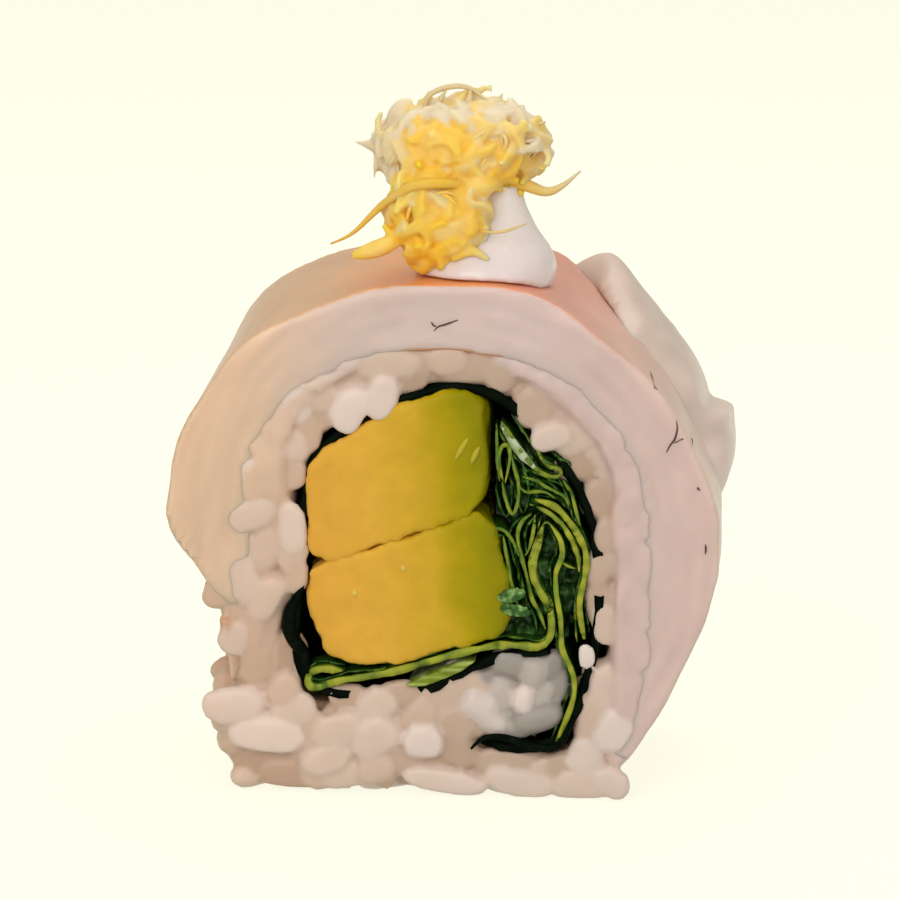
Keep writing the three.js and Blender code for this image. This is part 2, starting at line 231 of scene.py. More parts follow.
def copy_of(node, name):
    """A welded copy of a frame node, as the start of a finer piece."""
    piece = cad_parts[node].copy()
    piece.data = piece.data.copy()
    piece.name = piece.data.name = name
    piece.parent = None
    piece.hide_render = piece.hide_viewport = False
    for key in list(piece.keys()):
        del piece[key]
    bpy.context.scene.collection.objects.link(piece)
    piece.data.materials.clear()
    edit(piece)
    bpy.ops.mesh.remove_doubles(threshold=0.00001)
    done()
    return piece


def joined(pieces, name):
    deselect_all()
    for piece in pieces:
        piece.select_set(True)
    bpy.context.view_layer.objects.active = pieces[0]
    if len(pieces) > 1:
        bpy.ops.object.join()
    return named(name)


def points_of(piece):
    points = np.zeros(len(piece.data.vertices) * 3)
    piece.data.vertices.foreach_get("co", points)
    return points.reshape(-1, 3) / MM


def normals_of(piece):
    normals = np.zeros(len(piece.data.vertices) * 3)
    piece.data.vertices.foreach_get("normal", normals)
    return normals.reshape(-1, 3)


def move_points(piece, points):
    piece.data.vertices.foreach_set("co", (points * MM).ravel())
    piece.data.update()


def paint(piece, tints):
    """Stores a colour at each point, 0 to 255 as it is seen, for the material to read."""
    layer = piece.data.color_attributes.new("tint", "FLOAT_COLOR", "POINT")
    values = np.ones((len(piece.data.vertices), 4))
    values[:, :3] = linear(tints)
    layer.data.foreach_set("color", values.ravel())


def place(piece, slot, material, *nodes):
    piece.data.materials.clear()
    piece.data.materials.append(material)
    if nodes:
        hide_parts(*nodes)
    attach(piece, "root")


class Heap:
    """Many small copies of modelled shapes, each with its own points and colour, as one piece."""

    def __init__(self):
        self.points, self.faces, self.tints, self.count = [], [], [], 0

    def add(self, shape, points, tint):
        self.points.append(points)
        self.faces += [[i + self.count for i in face] for face in shape["faces"]]
        self.tints.append(np.broadcast_to(np.asarray(tint, float), (len(points), 3)))
        self.count += len(points)

    def piece(self, name):
        mesh = bpy.data.meshes.new(name)
        mesh.from_pydata((np.vstack(self.points) * MM).tolist(), [], self.faces)
        made = bpy.data.objects.new(name, mesh)
        bpy.context.scene.collection.objects.link(made)
        shade_round(made)
        paint(made, np.vstack(self.tints))
        return made


def run_together(heap, name, cores, voxel, rounds):
    """One closed skin over a heap and its (core, tint) pairs; each point takes the colour of what it came from."""
    points, faces, tints = list(heap.points), list(heap.faces), list(heap.tints)
    count = heap.count
    for core, tint in cores:
        points.append(points_of(core))
        tints.append(np.broadcast_to(np.asarray(tint, float), points[-1].shape))
        faces += [[i + count for i in face.vertices] for face in core.data.polygons]
        count += len(points[-1])
    tree = bvhtree.BVHTree.FromPolygons(np.vstack(points).tolist(), faces)
    tints = np.vstack(tints)
    mass = joined([heap.piece(name + "_pieces"), *[core for core, _ in cores]], name)
    for layer in list(mass.data.color_attributes):
        mass.data.color_attributes.remove(layer)
    refine(mass, voxel, rounds)
    own = np.array([tints[faces[tree.find_nearest(point)[2]][0]] for point in points_of(mass)])
    edges = np.zeros(len(mass.data.edges) * 2, int)
    mass.data.edges.foreach_get("vertices", edges)
    a, b = edges.reshape(-1, 2).T
    total, weight = own * 2, np.full((len(own), 1), 2.0)
    for here, there in ((a, b), (b, a)):
        np.add.at(total, here, own[there])
        np.add.at(weight, here, 1)
    paint(mass, total / weight)
    return mass


def cut_off(piece, y, keep_front):
    """Saws a piece across at a depth in mm and closes the cut."""
    edit(piece)
    bpy.ops.mesh.bisect(
        plane_co=(0, y * MM, 0), plane_no=(0, 1, 0), use_fill=True, clear_outer=keep_front, clear_inner=not keep_front
    )
    done()


def taken_up(piece):
    """The points and faces of a modelled shape, to be copied many times; the shape itself is put away."""
    shape = {"points": points_of(piece), "faces": [list(face.vertices) for face in piece.data.polygons]}
    bpy.data.objects.remove(piece)
    return shape


def strand(name, line, thick, thin=None):
    """A thread along points in mm, as thick as said at its start and at its end, as a closed mesh."""
    deselect_all()
    walk = curve_through(line, 16)
    bpy.ops.curve.primitive_nurbs_path_add(radius=MM)
    thread = bpy.context.active_object
    path = thread.data.splines[0]
    path.points.add(len(walk) - len(path.points))
    path.order_u = 3
    path.use_endpoint_u = True
    for k, (point, spot) in enumerate(zip(path.points, walk)):
        share = (k + 0.5) / len(walk)
        point.co = (*(spot * MM), 1)
        point.radius = (0.35 + 0.65 * math.sin(math.pi * share)) * mix(1, (thin or thick) / thick, share**0.6)
    thread.data.bevel_depth = thick / 2 * MM
    thread.data.bevel_resolution = 2
    thread.data.resolution_u = 2
    thread.data.use_fill_caps = True
    only(thread)
    bpy.ops.object.convert(target="MESH")
    thread = named(name)
    edit(thread)
    bpy.ops.mesh.remove_doubles(threshold=0.000001)
    bpy.ops.mesh.normals_make_consistent(inside=False)
    done()
    shade_round(thread)
    return thread


def soft_lump(centre, radii):
    """An uneven egg shape about a centre, with half sizes in mm."""
    deselect_all()
    bpy.ops.mesh.primitive_ico_sphere_add(subdivisions=4, radius=MM, location=Vector(centre) * MM)
    lump = named("lump")
    edit(lump)
    bpy.ops.transform.resize(value=tuple(r * 0.92 for r in radii), center_override=Vector(centre) * MM)
    done()
    lumpy(lump, 2.2, 0.7)
    return lump


def axes_from(direction):
    along = unit(np.asarray(direction, float))
    helper = np.array([0, 0, 1.0]) if abs(along[2]) < 0.9 else np.array([1.0, 0, 0])
    side = unit(np.cross(helper, along))
    return np.array([along, side, np.cross(along, side)])


# ---------------------------------------------------------------- materials
def moist(name, under, depth, rough, relief, grain, mottle=0.06, coat=0.0, spread=(1.0, 0.6, 0.4), gloss=0.5):
    """A moist food, coloured by its painted tint. Light goes in so many mm; relief has grains of so many mm."""
    material = bpy.data.materials.new(name)
    material.use_nodes = True
    nodes, links = material.node_tree.nodes, material.node_tree.links

    def node(kind, inputs):
        made = nodes.new("ShaderNode" + kind)
        for key, value in inputs.items():
            made.inputs[key].default_value = value
        return made

    shader = nodes["Principled BSDF"]
    tint = node("Attribute", {})
    tint.attribute_name = "tint"
    where = node("TexCoord", {})
    cloud = node("TexNoise", {"Scale": 1 / (grain * 2.5 * MM), "Detail": 4})
    fine = node("TexNoise", {"Scale": 1 / (grain * MM), "Detail": 5})
    level = node("MapRange", {"To Min": 1 - mottle * 2, "To Max": 1 + mottle * 2})
    shine = node("MapRange", {"To Min": rough - 0.1, "To Max": rough + 0.1})
    bump = node("Bump", {"Strength": relief, "Distance": grain * 0.3 * MM})
    blend = node("Mix", {})
    blend.data_type = "RGBA"
    blend.blend_type = "MULTIPLY"
    blend.inputs["Factor"].default_value = 1
    for give, output, take, taken in (
        (where, "Object", cloud, "Vector"), (where, "Object", fine, "Vector"), (cloud, "Fac", level, "Value"),
        (cloud, "Fac", shine, "Value"), (tint, "Color", blend, "A"), (level, "Result", blend, "B"),
        (blend, "Result", shader, "Base Color"), (shine, "Result", shader, "Roughness"),
        (fine, "Fac", bump, "Height"), (bump, "Normal", shader, "Normal"),
    ):
        links.new(give.outputs[output], take.inputs[taken])
    for key, value in {
        "Subsurface Weight": under, "Subsurface Radius": spread, "Subsurface Scale": depth * MM,
        "Specular IOR Level": gloss, "Coat Weight": coat, "Coat Roughness": 0.15,
    }.items():
        shader.inputs[key].default_value = value
    return material


rice_skin = moist("rice_skin", 0.7, 0.9, 0.34, 0.08, 1.2, 0.03, 0.06, (1.0, 0.85, 0.75), 0.35)
fish_flesh = moist("fish_flesh", 0.7, 1.8, 0.36, 0.10, 1.4, 0.03, 0.1, (1.0, 0.7, 0.55), 0.4)
avocado_flesh = moist("avocado_flesh", 0.3, 0.8, 0.42, 0.3, 0.8, 0.07, 0.02, (1.0, 0.8, 0.2), 0.06)
leaf_skin = moist("leaf_skin", 0.1, 0.3, 0.34, 0.4, 0.5, 0.2, 0.06, (0.6, 1.0, 0.2), 0.2)
seaweed_skin = moist("seaweed_skin", 0.0, 0.2, 0.5, 0.6, 0.35, 0.25, 0.0, (1.0, 1.0, 1.0), 0.03)
cream_skin = moist("cream_skin", 0.6, 1.4, 0.26, 0.05, 2.0, 0.015, 0.2, (1.0, 0.9, 0.8))
zest_thin = moist("zest_thin", 0.0, 0.4, 0.45, 0.2, 0.5, 0.05, 0.0, (1.0, 0.75, 0.3), 0.3)
zest_skin = moist("zest_skin", 0.8, 1.2, 0.5, 0.25, 0.5, 0.06, 0.0, (1.0, 0.75, 0.3), 0.3)


# ---------------------------------------------------------------- rice
# Rice tones, deep to bright: partly the grains' own differing tone, partly painted shade on the deep grains, which
# lie further back, and painted light on the bright ones, which stand out.
RICE_DEEP_AND_SHADED, RICE_MID, RICE_BRIGHT_AND_LIT = (182, 154, 134), (208, 182, 165), (226, 210, 205)
# The next three are painted shade: the grey of grains in the hollow under the filling, the tan of the bed in the gaps
# between grains, and the bed deep in that hollow.
RICE_HOLLOW_SHADE, RICE_GAP_SHADE, RICE_POCKET_SHADE = (146, 138, 132), (200, 158, 128), (146, 132, 122)


def rice_seed(sides, rings):
    """A blunt, slightly flattened seed, 2 long and 2 across, lying along X."""
    deselect_all()
    bpy.ops.mesh.primitive_uv_sphere_add(segments=sides, ring_count=rings, radius=MM, rotation=(0, math.pi / 2, 0))
    seed = named("rice_seed")
    edit(seed, lambda v: 0.3 < abs(v.x) < 0.99)
    bpy.ops.transform.resize(value=(1, 1.1, 1.1), center_override=(0, 0, 0))
    done()
    edit(seed, lambda v: 0.75 < abs(v.x) < 0.99)
    bpy.ops.transform.resize(value=(1, 1.08, 1.08), center_override=(0, 0, 0))
    done()
    edit(seed, lambda v: abs(v.x) > 0.6)
    bpy.ops.transform.translate(value=(0, 0.1 * MM, 0))
    done()
    return taken_up(seed)


SAWN = -6.5  # where the front half of the rice ends and the back half begins, in mm
OVERLAP = 0.5  # how far the two halves of the bed run into each other
SLICED = 0.42  # how softly, in mm, the knife's plane meets the round of a grain
# Grains strewn over the cuts and the sides: least and greatest length and width in mm
CUT_GRAIN = {"length": (4.0, 5.6), "width": (2.5, 3.0)}
SIDE_GRAIN = {"length": (4.4, 6.0), "width": (2.3, 2.7)}
# The bed, in mm: how far it lies behind the cut, how far it stands before it where it meets the fish, how deep
# its notch beside the hollow is, and how far it stands out inside, at the foot and beside the fish
BED = {"behind": 1.0, "at_fish": 0.1, "notch": 3.5, "inside": -0.2, "foot": -0.5, "beside": 1.1}
fine_seed = rice_seed(16, 12)
plain_seed = rice_seed(9, 8)
inside_out_seed = {"points": plain_seed["points"], "faces": [face[::-1] for face in plain_seed["faces"]]}


def rice_tint(tone, x=0.0):
    """From the warm deep grains to the bright ones, partly their own tone and partly painted shade on deep grains and
    painted light on bright ones; warmer on the left of the roll, painted as the warm light that falls there.
    """
    low = mix(np.array(RICE_DEEP_AND_SHADED, float), np.array(RICE_MID, float), min(tone * 2, 1))
    tint = mix(low, np.array(RICE_BRIGHT_AND_LIT, float), max(tone * 2 - 1, 0))
    # Warmer on the left: painted warm light.
    return tint * mix(np.ones(3), np.array([1.01, 0.985, 0.955]), float(smooth(-x, -4, 16)))


def add_grain(heap, seed, centre, direction, length, width, tint, flat=1.0, cut=None):
    """One grain; flat squeezes it from front to back, and cut is the plane, facing -Y, that the knife left."""
    size = np.array([length, width, width * dice.uniform(0.86, 1)]) / 2
    roll = dice.uniform(0, 6.28)
    along, side, up = axes_from(direction)
    side, up = side * math.cos(roll) + up * math.sin(roll), up * math.cos(roll) - side * math.sin(roll)
    points = seed["points"] * size @ np.array([along, side, up]) * (1, flat, 1) + np.asarray(centre, float)
    if cut is not None:
        depth = points[:, 1] - cut
        points[:, 1] = cut + np.where(depth > SLICED, depth, SLICED * np.exp(np.minimum(depth / SLICED - 1, 0)))
    points[:, 2] = np.maximum(points[:, 2], 0.15)
    heap.add(seed, points, tint)


# Grains that stand out at the front cut: pixel, length and width in mm, turn from level, tone from deep to bright; a
# deeper tone also sets a grain further back, so it is partly painted shade, and the bright tone partly painted light
FRONT_GRAINS = [
    (290, 402, 3.9, 3.0, 90, 1.0), (290, 450, 2.8, 2.9, 0, 0.8), (256, 478, 3.1, 3.0, 0, 0.95),
    (290, 478, 2.6, 2.4, 90, 0.45), (341, 373, 3.6, 2.8, 10, 0.35), (320, 399, 2.8, 2.4, 60, 0.6),
    (325, 418, 3.0, 2.5, 40, 0.35), (305, 440, 3.0, 2.3, 80, 0.45), (300, 370, 3.6, 2.6, 20, 0.4),
    (348, 412, 3.8, 2.7, 65, 1.0), (381, 400, 3.6, 2.8, 75, 0.9), (388, 367, 5.0, 2.8, 5, 0.6),
    (360, 364, 3.4, 2.4, 20, 0.5), (416, 364, 3.2, 2.4, -5, 0.35), (446, 362, 3.0, 2.4, 10, 0.5),
    (487, 360, 3.4, 2.4, -5, 0.4), (520, 364, 3.2, 2.4, -15, 0.5),
    (412, 386, 2.2, 1.6, 30, 0.1), (430, 373, 2.4, 2.2, 0, 0.1), (466, 371, 5.2, 3.0, 0, 0.25),
    (501, 376, 3.2, 2.9, 60, 0.25), (545, 371, 4.6, 2.8, -15, 0.45), (532, 408, 3.4, 3.1, 100, 0.3),
    (556, 404, 3.8, 3.0, 30, 0.15), (575, 436, 4.0, 2.6, 20, 0.6), (550, 436, 3.2, 2.2, 20, 0.75),
    (605, 412, 5.2, 3.4, -50, 0.55), (625, 440, 4.5, 3.4, 80, 0.5), (582, 464, 4.6, 2.9, 20, 0.1),
    (614, 470, 4.0, 3.2, 40, 0.5), (596, 500, 3.2, 2.7, 75, 0.2), (616, 504, 4.0, 2.9, 70, 0.5),
    (607, 534, 2.6, 2.2, 80, 0.2), (634, 510, 4.5, 3.0, 80, 0.5), (618, 545, 4.4, 2.7, 80, 0.55),
    (600, 566, 3.4, 2.6, 60, 0.35),
    (640, 560, 4.4, 3.0, 85, 0.4), (599, 604, 4.4, 2.4, 100, 0.25), (606, 625, 3.2, 2.3, 95, 0.6),
    (629, 590, 4.8, 3.0, 95, 0.35), (607, 690, 4.2, 2.8, 80, 0.7), (628, 655, 4.8, 3.0, 95, 0.5),
    (640, 700, 4.8, 3.0, 95, 0.5), (596, 722, 4.6, 3.2, 80, 0.55), (616, 732, 3.8, 3.0, 60, 0.9),
    (586, 760, 3.4, 2.9, 70, 0.85), (612, 756, 3.6, 2.8, 80, 0.5), (566, 770, 3.4, 2.4, 20, 0.3),
    (546, 771, 3.6, 2.1, 0, 0.15), (505, 769, 5.4, 2.3, -5, 0.3), (452, 757, 4.4, 2.8, -20, 0.15),
    (284, 786, 5.2, 2.3, -3, 0.2), (337, 786, 3.6, 2.3, 8, 0.7), (372, 778, 3.0, 2.4, 20, 0.6),
    (385, 788, 1.8, 1.4, 60, 0.15), (444, 789, 6.6, 2.1, -8, 0.8), (520, 789, 5.4, 2.3, -10, 0.75),
    (586, 788, 5.6, 2.5, 5, 0.7), (614, 786, 3.0, 2.4, -30, 0.8), (230, 714, 4.6, 2.9, 4, 0.95),
    (215, 718, 3.2, 2.4, -20, 0.9), (261, 743, 5.8, 3.4, -5, 1.0), (290, 720, 3.6, 2.8, 20, 0.8),
    (286, 666, 4.4, 2.6, 85, 0.1), (280, 698, 3.0, 2.6, 60, 0.6), (265, 622, 3.4, 2.2, 80, 0.35),
    (293, 581, 3.0, 2.0, 85, 0.5), (262, 604, 3.8, 2.4, 60, 0.7), (228, 646, 2.8, 2.5, 70, 0.75),
    (246, 634, 3.4, 2.3, 80, 0.5), (250, 672, 3.6, 2.4, 85, 0.4),
    (290, 532, 4.0, 2.2, 95, 0.9), (246, 520, 4.2, 2.5, 20, 0.8), (226, 552, 4.2, 2.6, 60, 0.85),
    (262, 553, 4.2, 2.6, 70, 0.65), (238, 586, 4.2, 2.6, 100, 0.8), (290, 562, 3.0, 2.2, 70, 0.6),
    (272, 516, 3.4, 2.6, 70, 0.5), (214, 596, 3.4, 2.4, 70, 0.5), (322, 768, 4.2, 2.8, 20, 0.75),
    (337, 738, 4.6, 2.9, 15, 0.75), (372, 745, 4.2, 3.4, 25, 0.8), (374, 712, 3.2, 3.0, 40, 0.75),
    (343, 704, 3.0, 2.1, 0, 0.3), (310, 742, 3.4, 2.6, 80, 0.55), (396, 700, 3.4, 2.2, 10, 0.35),
    (422, 747, 3.0, 2.8, 0, 0.95), (439, 702, 3.6, 2.6, 20, 0.5), (418, 722, 3.0, 2.4, 50, 0.5),
    (404, 768, 3.2, 2.4, 20, 0.35), (456, 734, 3.0, 2.2, -60, 0.3), (588, 656, 2.0, 1.35, 95, 1.0),
]
# Whole grains in the hollow under the filling: the same, with how far back each lies after its pixel; their tone runs
# from a grey of painted shade to bright
HOLLOW_GRAINS = [
    (509, 667, 0.2, 3.2, 2.6, -10, 0.2), (534, 676, 0.1, 2.9, 2.4, 70, 0.5), (553, 668, 0.4, 2.7, 2.1, 60, 0.1),
    (560, 688, 0.7, 2.8, 2.0, 80, 0.15), (541, 698, 0.5, 2.9, 2.3, 60, 0.55), (478, 710, 0.1, 3.4, 2.9, -35, 0.9),
    (491, 727, 0.2, 3.2, 2.5, -40, 0.8), (503, 700, 0.4, 3.2, 2.6, -60, 0.6), (538, 723, 0.0, 4.2, 2.5, 20, 0.2),
    (516, 733, 0.3, 2.8, 1.8, 0, 0.4), (523, 702, -0.1, 2.2, 1.6, 80, 1.0), (480, 686, 0.8, 3.0, 2.2, 20, 0.15),
]

# The seaweed's line in the section, from its outer end under the filling to its inner end
SEAWEED = [
    (2.8, 4.3), (5.7, 3.9), (8.5, 4.1), (10.1, 7), (11.5, 11.4), (11.8, 16), (11.6, 20.2), (10.5, 23.5),
    (8.1, 27.3), (5.3, 30.5), (2, 32), (-2.5, 31.2), (-6.9, 28.7), (-10, 26.3), (-10.6, 22.4), (-10.7, 17.1),
    (-11.6, 12.9), (-10.8, 7.9), (-7, 7.9), (-3.4, 7.6), (0.5, 9.1), (3.6, 11.2), (8, 11.5),
]
SEAWEED_WALK = curve_through(SEAWEED, 160)
FILLING = np.array(SEAWEED[4:] + [(8.9, 10.3), (9.7, 8.6), (10, 7.2)])
RICE_RING = np.array([section_point(d, heel(d)) for d in range(0, 360, 6)])


def inside(ring, x, z):
    hit = False
    for (x1, z1), (x2, z2) in zip(ring, np.roll(ring, -1, axis=0)):
        if (z1 > z) != (z2 > z) and x < (x2 - x1) * (z - z1) / (z2 - z1) + x1:
            hit = not hit
    return hit


def on_rice(x, z, clear):
    near = np.hypot(SEAWEED_WALK[:, 0] - x, SEAWEED_WALK[:, 1] - z).min()
    return inside(RICE_RING, x, z) and not inside(FILLING, x, z) and near > clear


def scatter(draw, apart, throws):
    kept = []
    for _ in range(throws):
        point = draw()
        if point is not None and all(np.linalg.norm(point - other) > apart for other in kept):
            kept.append(point)
    return kept


# The fish's cut from left to right, in mm and as seen
CUT_TINTS = {
    -19: (224, 191, 164), -14: (222, 190, 165), -8: (214, 191, 182), -2: (214, 192, 187), 6: (213, 190, 188),
    12: (211, 186, 181), 19: (215, 188, 182),
}


def by_fish(x, z):
    """How near a place of the cut lies to the fish, from 0 to 1: there the rice runs into it."""
    left = smooth(-x, 10.5, 12.5) * smooth(z, 20, 24)
    right = smooth(x, 2, 8)
    over = smooth(np.hypot(x, z - 20), mix(13.6, 12.3, right), mix(14.8, 14.3, right)) * smooth(z, 24, 28)
    return np.clip(left + smooth(x, 11.4, 13.4) + over, 0, 1)


def add_front_grains(heap):
    for px, py, length, width, turn, tone in FRONT_GRAINS:
        x, z = at_pixel(px, py)
        swing = math.radians(turn)
        direction = (math.cos(swing), dice.uniform(-0.12, 0.12), math.sin(swing))
        near = float(by_fish(x, z)) * (1 - float(smooth(tone, 0.6, 0.9)))
        if near > 0.6:
            continue
        # A darker grain is set further back: its deep tone is partly painted shade.
        plane = FRONT + mix((0.75 - tone) * 0.8 + dice.uniform(-0.2, 0.2), 0.12, near)
        centre = (x, plane + width * 0.26, max(z, width * 0.5))
        tint = mix(rice_tint(tone, x), tints_along(x, CUT_TINTS), 0.7 * near)
        add_grain(heap, fine_seed, centre, direction, length, width, tint, 0.75, plane)
    for px, py, back, length, width, turn, tone in HOLLOW_GRAINS:
        x, z = at_pixel(px, py)
        swing = math.radians(turn)
        direction = (math.cos(swing), 0, math.sin(swing))
        # Grains in the hollow run from a grey of painted shade to bright.
        tint = mix(np.array(RICE_HOLLOW_SHADE, float), np.array(RICE_BRIGHT_AND_LIT, float), tone)
        add_grain(heap, fine_seed, (x, FRONT + width * 0.42 + back, z), direction, length, width, tint, 0.85)


def add_cut_grains(heap, cut, apart, recess, tones):
    """Grains over a whole cut, lying in it or pointing in, sliced off at the cut."""

    def draw():
        x, z = dice.uniform(-18.5, 16), dice.uniform(1.3, 34)
        hollow = 2 < x < 9.8 and 5 < z < 11.5
        return np.array([x, z]) if on_rice(x, z, 1.2) and by_fish(x, z) < 0.6 and not hollow else None

    inward = -math.copysign(1, cut)
    for x, z in scatter(draw, apart, 5000):
        lying = dice.random() < 0.75
        inwards = dice.uniform(-0.2, 0.2) if lying else dice.uniform(1, 2)
        along = axes_from((dice.uniform(-1, 1), inwards, dice.uniform(-1, 1)))[0]
        length, width = dice.uniform(*CUT_GRAIN["length"]), dice.uniform(*CUT_GRAIN["width"])
        rise = math.hypot(along[2] * length, math.sqrt(1 - along[2] ** 2) * width) / 2
        # The further back a grain lies, the deeper its tone: painted shade.
        share = dice.uniform(0, 1)
        plane = FRONT + recess + 0.5 * (1 - share)
        own = Heap()
        tint = mix(rice_tint(mix(*tones, share), x), tints_along(x, CUT_TINTS), 0.8 * float(by_fish(x, z)))
        add_grain(own, plain_seed, (x, plane + width * 0.26, max(z, rise)), along, length, width, tint, 0.8, plane)
        own.points[0][:, 1] *= inward
        faces = plain_seed if inward > 0 else inside_out_seed
        heap.add(faces, own.points[0], own.tints[0])


def add_side_grains(front_heap, back_heap):
    """Grains on the sides below the fish and on the foot."""

    def draw():
        degrees, y = dice.uniform(186, 352), dice.uniform(FRONT + 1.6, BACK - 1.6)
        if degrees < 196 or degrees > 322:
            return None
        x, z = section_point(degrees, heel(degrees) - 0.5)
        return np.array([x, y, max(z, 1.25)])

    for x, y, z in scatter(draw, 2.1, 7000):
        low = z < 2.6
        tilt = 0.02 if low else dice.uniform(-0.4, 0.4)
        along = axes_from((dice.uniform(-1, 1) * (1 if low else 0.3), dice.uniform(-1, 1), tilt))[0]
        length, width = dice.uniform(*SIDE_GRAIN["length"]), dice.uniform(*SIDE_GRAIN["width"])
        reach = math.hypot(along[1] * length, math.sqrt(1 - along[1] ** 2) * width) / 2 + 0.5
        y = min(max(y, FRONT + reach), BACK - reach)
        tint = rice_tint(dice.uniform(0.2, 0.9), x)
        add_grain(front_heap if y < SAWN else back_heap, plain_seed, (x, y, z), along, length, width, tint)


def rice_bed(name, keep_front):
    """Half of the soft bed that the grains are crowded on, painted tan as the shade in the gaps between grains,
    darker still as painted shade deep in the hollow, and like fish where it meets the fish.
    """
    bed = copy_of("rice", name)
    refine(bed, 0.45, 8)
    points, normals = points_of(bed), normals_of(bed)
    x, z = points[:, 0], points[:, 2]
    points[:, 1] -= normals[:, 1] * mix(BED["behind"], 0.02, by_fish(x, z))
    facing = smooth(-normals[:, 1], 0.5, 0.9)
    points[:, 1] += (FRONT - BED["at_fish"] - points[:, 1]) * facing * by_fish(x, z)
    notch = smooth(x, 8.6, 9.4) * (1 - smooth(x, 11.2, 11.8)) * smooth(z, 7.2, 8.6) * (1 - smooth(z, 12.5, 14))
    points[:, 1] += BED["notch"] * notch * facing
    outward = smooth(normals[:, 0] * x + normals[:, 2] * (z - 20), 0, 6)
    beside = np.maximum(smooth(z, 8, 16), smooth(x, 12, 14))
    stand = mix(BED["inside"], mix(BED["foot"], BED["beside"], beside), outward)
    points[:, [0, 2]] += normals[:, [0, 2]] * stand[:, None]
    points[:, 0] *= mix(0.93, 1.0, smooth(z, 2.2, 3.2))
    points[:, 2] = np.maximum(points[:, 2], 0.4)
    move_points(bed, points)
    cut_off(bed, SAWN + (OVERLAP if keep_front else -OVERLAP), keep_front)
    points = points_of(bed)
    x, z = points[:, 0], points[:, 2]
    # The bed is painted tan, as the shade in the gaps between grains, and like fish near the fish.
    tint = RICE_GAP_SHADE + (tints_along(x, CUT_TINTS) - RICE_GAP_SHADE) * by_fish(x, z)[:, None]
    # Deep in the hollow under the filling the bed is painted darker: painted shade.
    pocket_shade = smooth(x, 0, 3) * (1 - smooth(z, 13.5, 15)) * smooth(z, 4, 5.5) * (1 - smooth(x, 10, 11.5))
    tint += (np.array(RICE_POCKET_SHADE, float) - tint) * pocket_shade[:, None]
    return bed, tint * (1 + 0.03 * wave(points, 3, 31))[:, None]


def make_rice():
    """Flat-cut grains crowded on a soft bed and run together, in a front and a back half."""
    heaps = (Heap(), Heap())
    add_front_grains(heaps[0])
    add_cut_grains(heaps[0], FRONT, 2.0, 0.45, (0.1, 0.6))
    add_cut_grains(heaps[1], BACK, 2.1, 0.0, (0.3, 0.95))
    add_side_grains(*heaps)
    halves = [rice_bed(name, name == "front") for name in ("front", "back")]
    place(run_together(heaps[0], "rice_front", halves[:1], 0.23, 1), "rice", rice_skin, "rice")
    place(run_together(heaps[1], "rice_back", halves[1:], 0.32, 1), "rice", rice_skin)


# ---------------------------------------------------------------- seaweed and leaves
SHEET_STEPS = [0.3, 0.7, 1.5, 3.5, 6, 6, 3.5, 1.5, 0.7, 0.3]


def drawn_sheet(name, line, thickness, sway, seed, ragged=0.0):
    """A thin sheet that runs from front to back: one edge, drawn out along a line of the section, then thickened."""
    deselect_all()
    x, z = line[0]
    bpy.ops.mesh.primitive_plane_add(size=MM, location=((x + 0.5) * MM, (FRONT + 0.5) * MM, z * MM))
    sheet = named(name)
    edit(sheet, lambda v: v.x > x + 0.5 or v.y > FRONT + 0.5)
    bpy.ops.mesh.delete(type="VERT")
    bpy.ops.mesh.select_all(action="SELECT")
    for step in SHEET_STEPS:
        bpy.ops.mesh.extrude_vertices_move(TRANSFORM_OT_translate={"value": (0, step * MM, 0)})
    bpy.ops.mesh.select_all(action="SELECT")
    for (x1, z1), (x2, z2) in zip(line, line[1:]):
        bpy.ops.mesh.extrude_region_move(TRANSFORM_OT_translate={"value": ((x2 - x1) * MM, 0, (z2 - z1) * MM)})
    done()
    finish_with(sheet, "SUBSURF", levels=2, render_levels=2)
    points = points_of(sheet)
    inner = smooth(from_cut(points), 0, 3)
    points[:, 0] += sway * inner * wave(points, 7, seed)
    points[:, 2] += sway * inner * wave(points, 7, seed + 50)
    points[:, 1] += ragged * (1 - inner) * np.sign(points[:, 1]) * (wave(points, 1.1, seed + 90) - 0.6)
    move_points(sheet, points)
    ends = [np.hypot(points[:, 0] - x, points[:, 2] - z) for x, z in (line[0], line[-1])]
    full = smooth(np.minimum(*ends), -0.5, 1.2) * (0.75 + 0.25 * wave(points, 2.2, seed + 20))
    group = sheet.vertex_groups.new(name="full")
    for index, share in enumerate(full):
        group.add([index], float(share), "REPLACE")
    finish_with(
        sheet, "SOLIDIFY", thickness=thickness * MM, offset=0, vertex_group="full", thickness_vertex_group=0.1
    )
    sheet.vertex_groups.clear()
    shade_round(sheet)
    return sheet


# Where the sheet shows between the grains: thickness in mm at both ends, depth in mm, and pixels
SEAWEED_RIMS = [
    (0.45, 0.8, -11.95, [(471, 753), (478, 745), (487, 740), (503, 740), (524, 746), (541, 750), (557, 750),
                         (567, 737), (576, 718)]),
    (0.8, 1.3, -11.5, [(300, 590), (293, 604), (286, 620), (285, 634), (291, 648), (300, 660), (303, 680)]),
]


def make_seaweed():
    sheet = drawn_sheet("seaweed_sheet", SEAWEED, 0.9, 0.25, 3, 0.3)
    move_points(sheet, points_of(sheet) * (1, 0.965, 1))
    lumpy(sheet, 0.9, 0.2)
    rims = [
        strand("seaweed_rim", [on_cut(px, py, y) for px, py in line], thick, thin)
        for thick, thin, y, line in SEAWEED_RIMS
    ]
    sheet = joined([sheet, *rims], "seaweed_sheet")
    paint(sheet, shades((2, 7, 3), (10, 22, 9), dice.random(len(sheet.data.vertices)) ** 2))
    place(sheet, "seaweed", seaweed_skin, "seaweed")


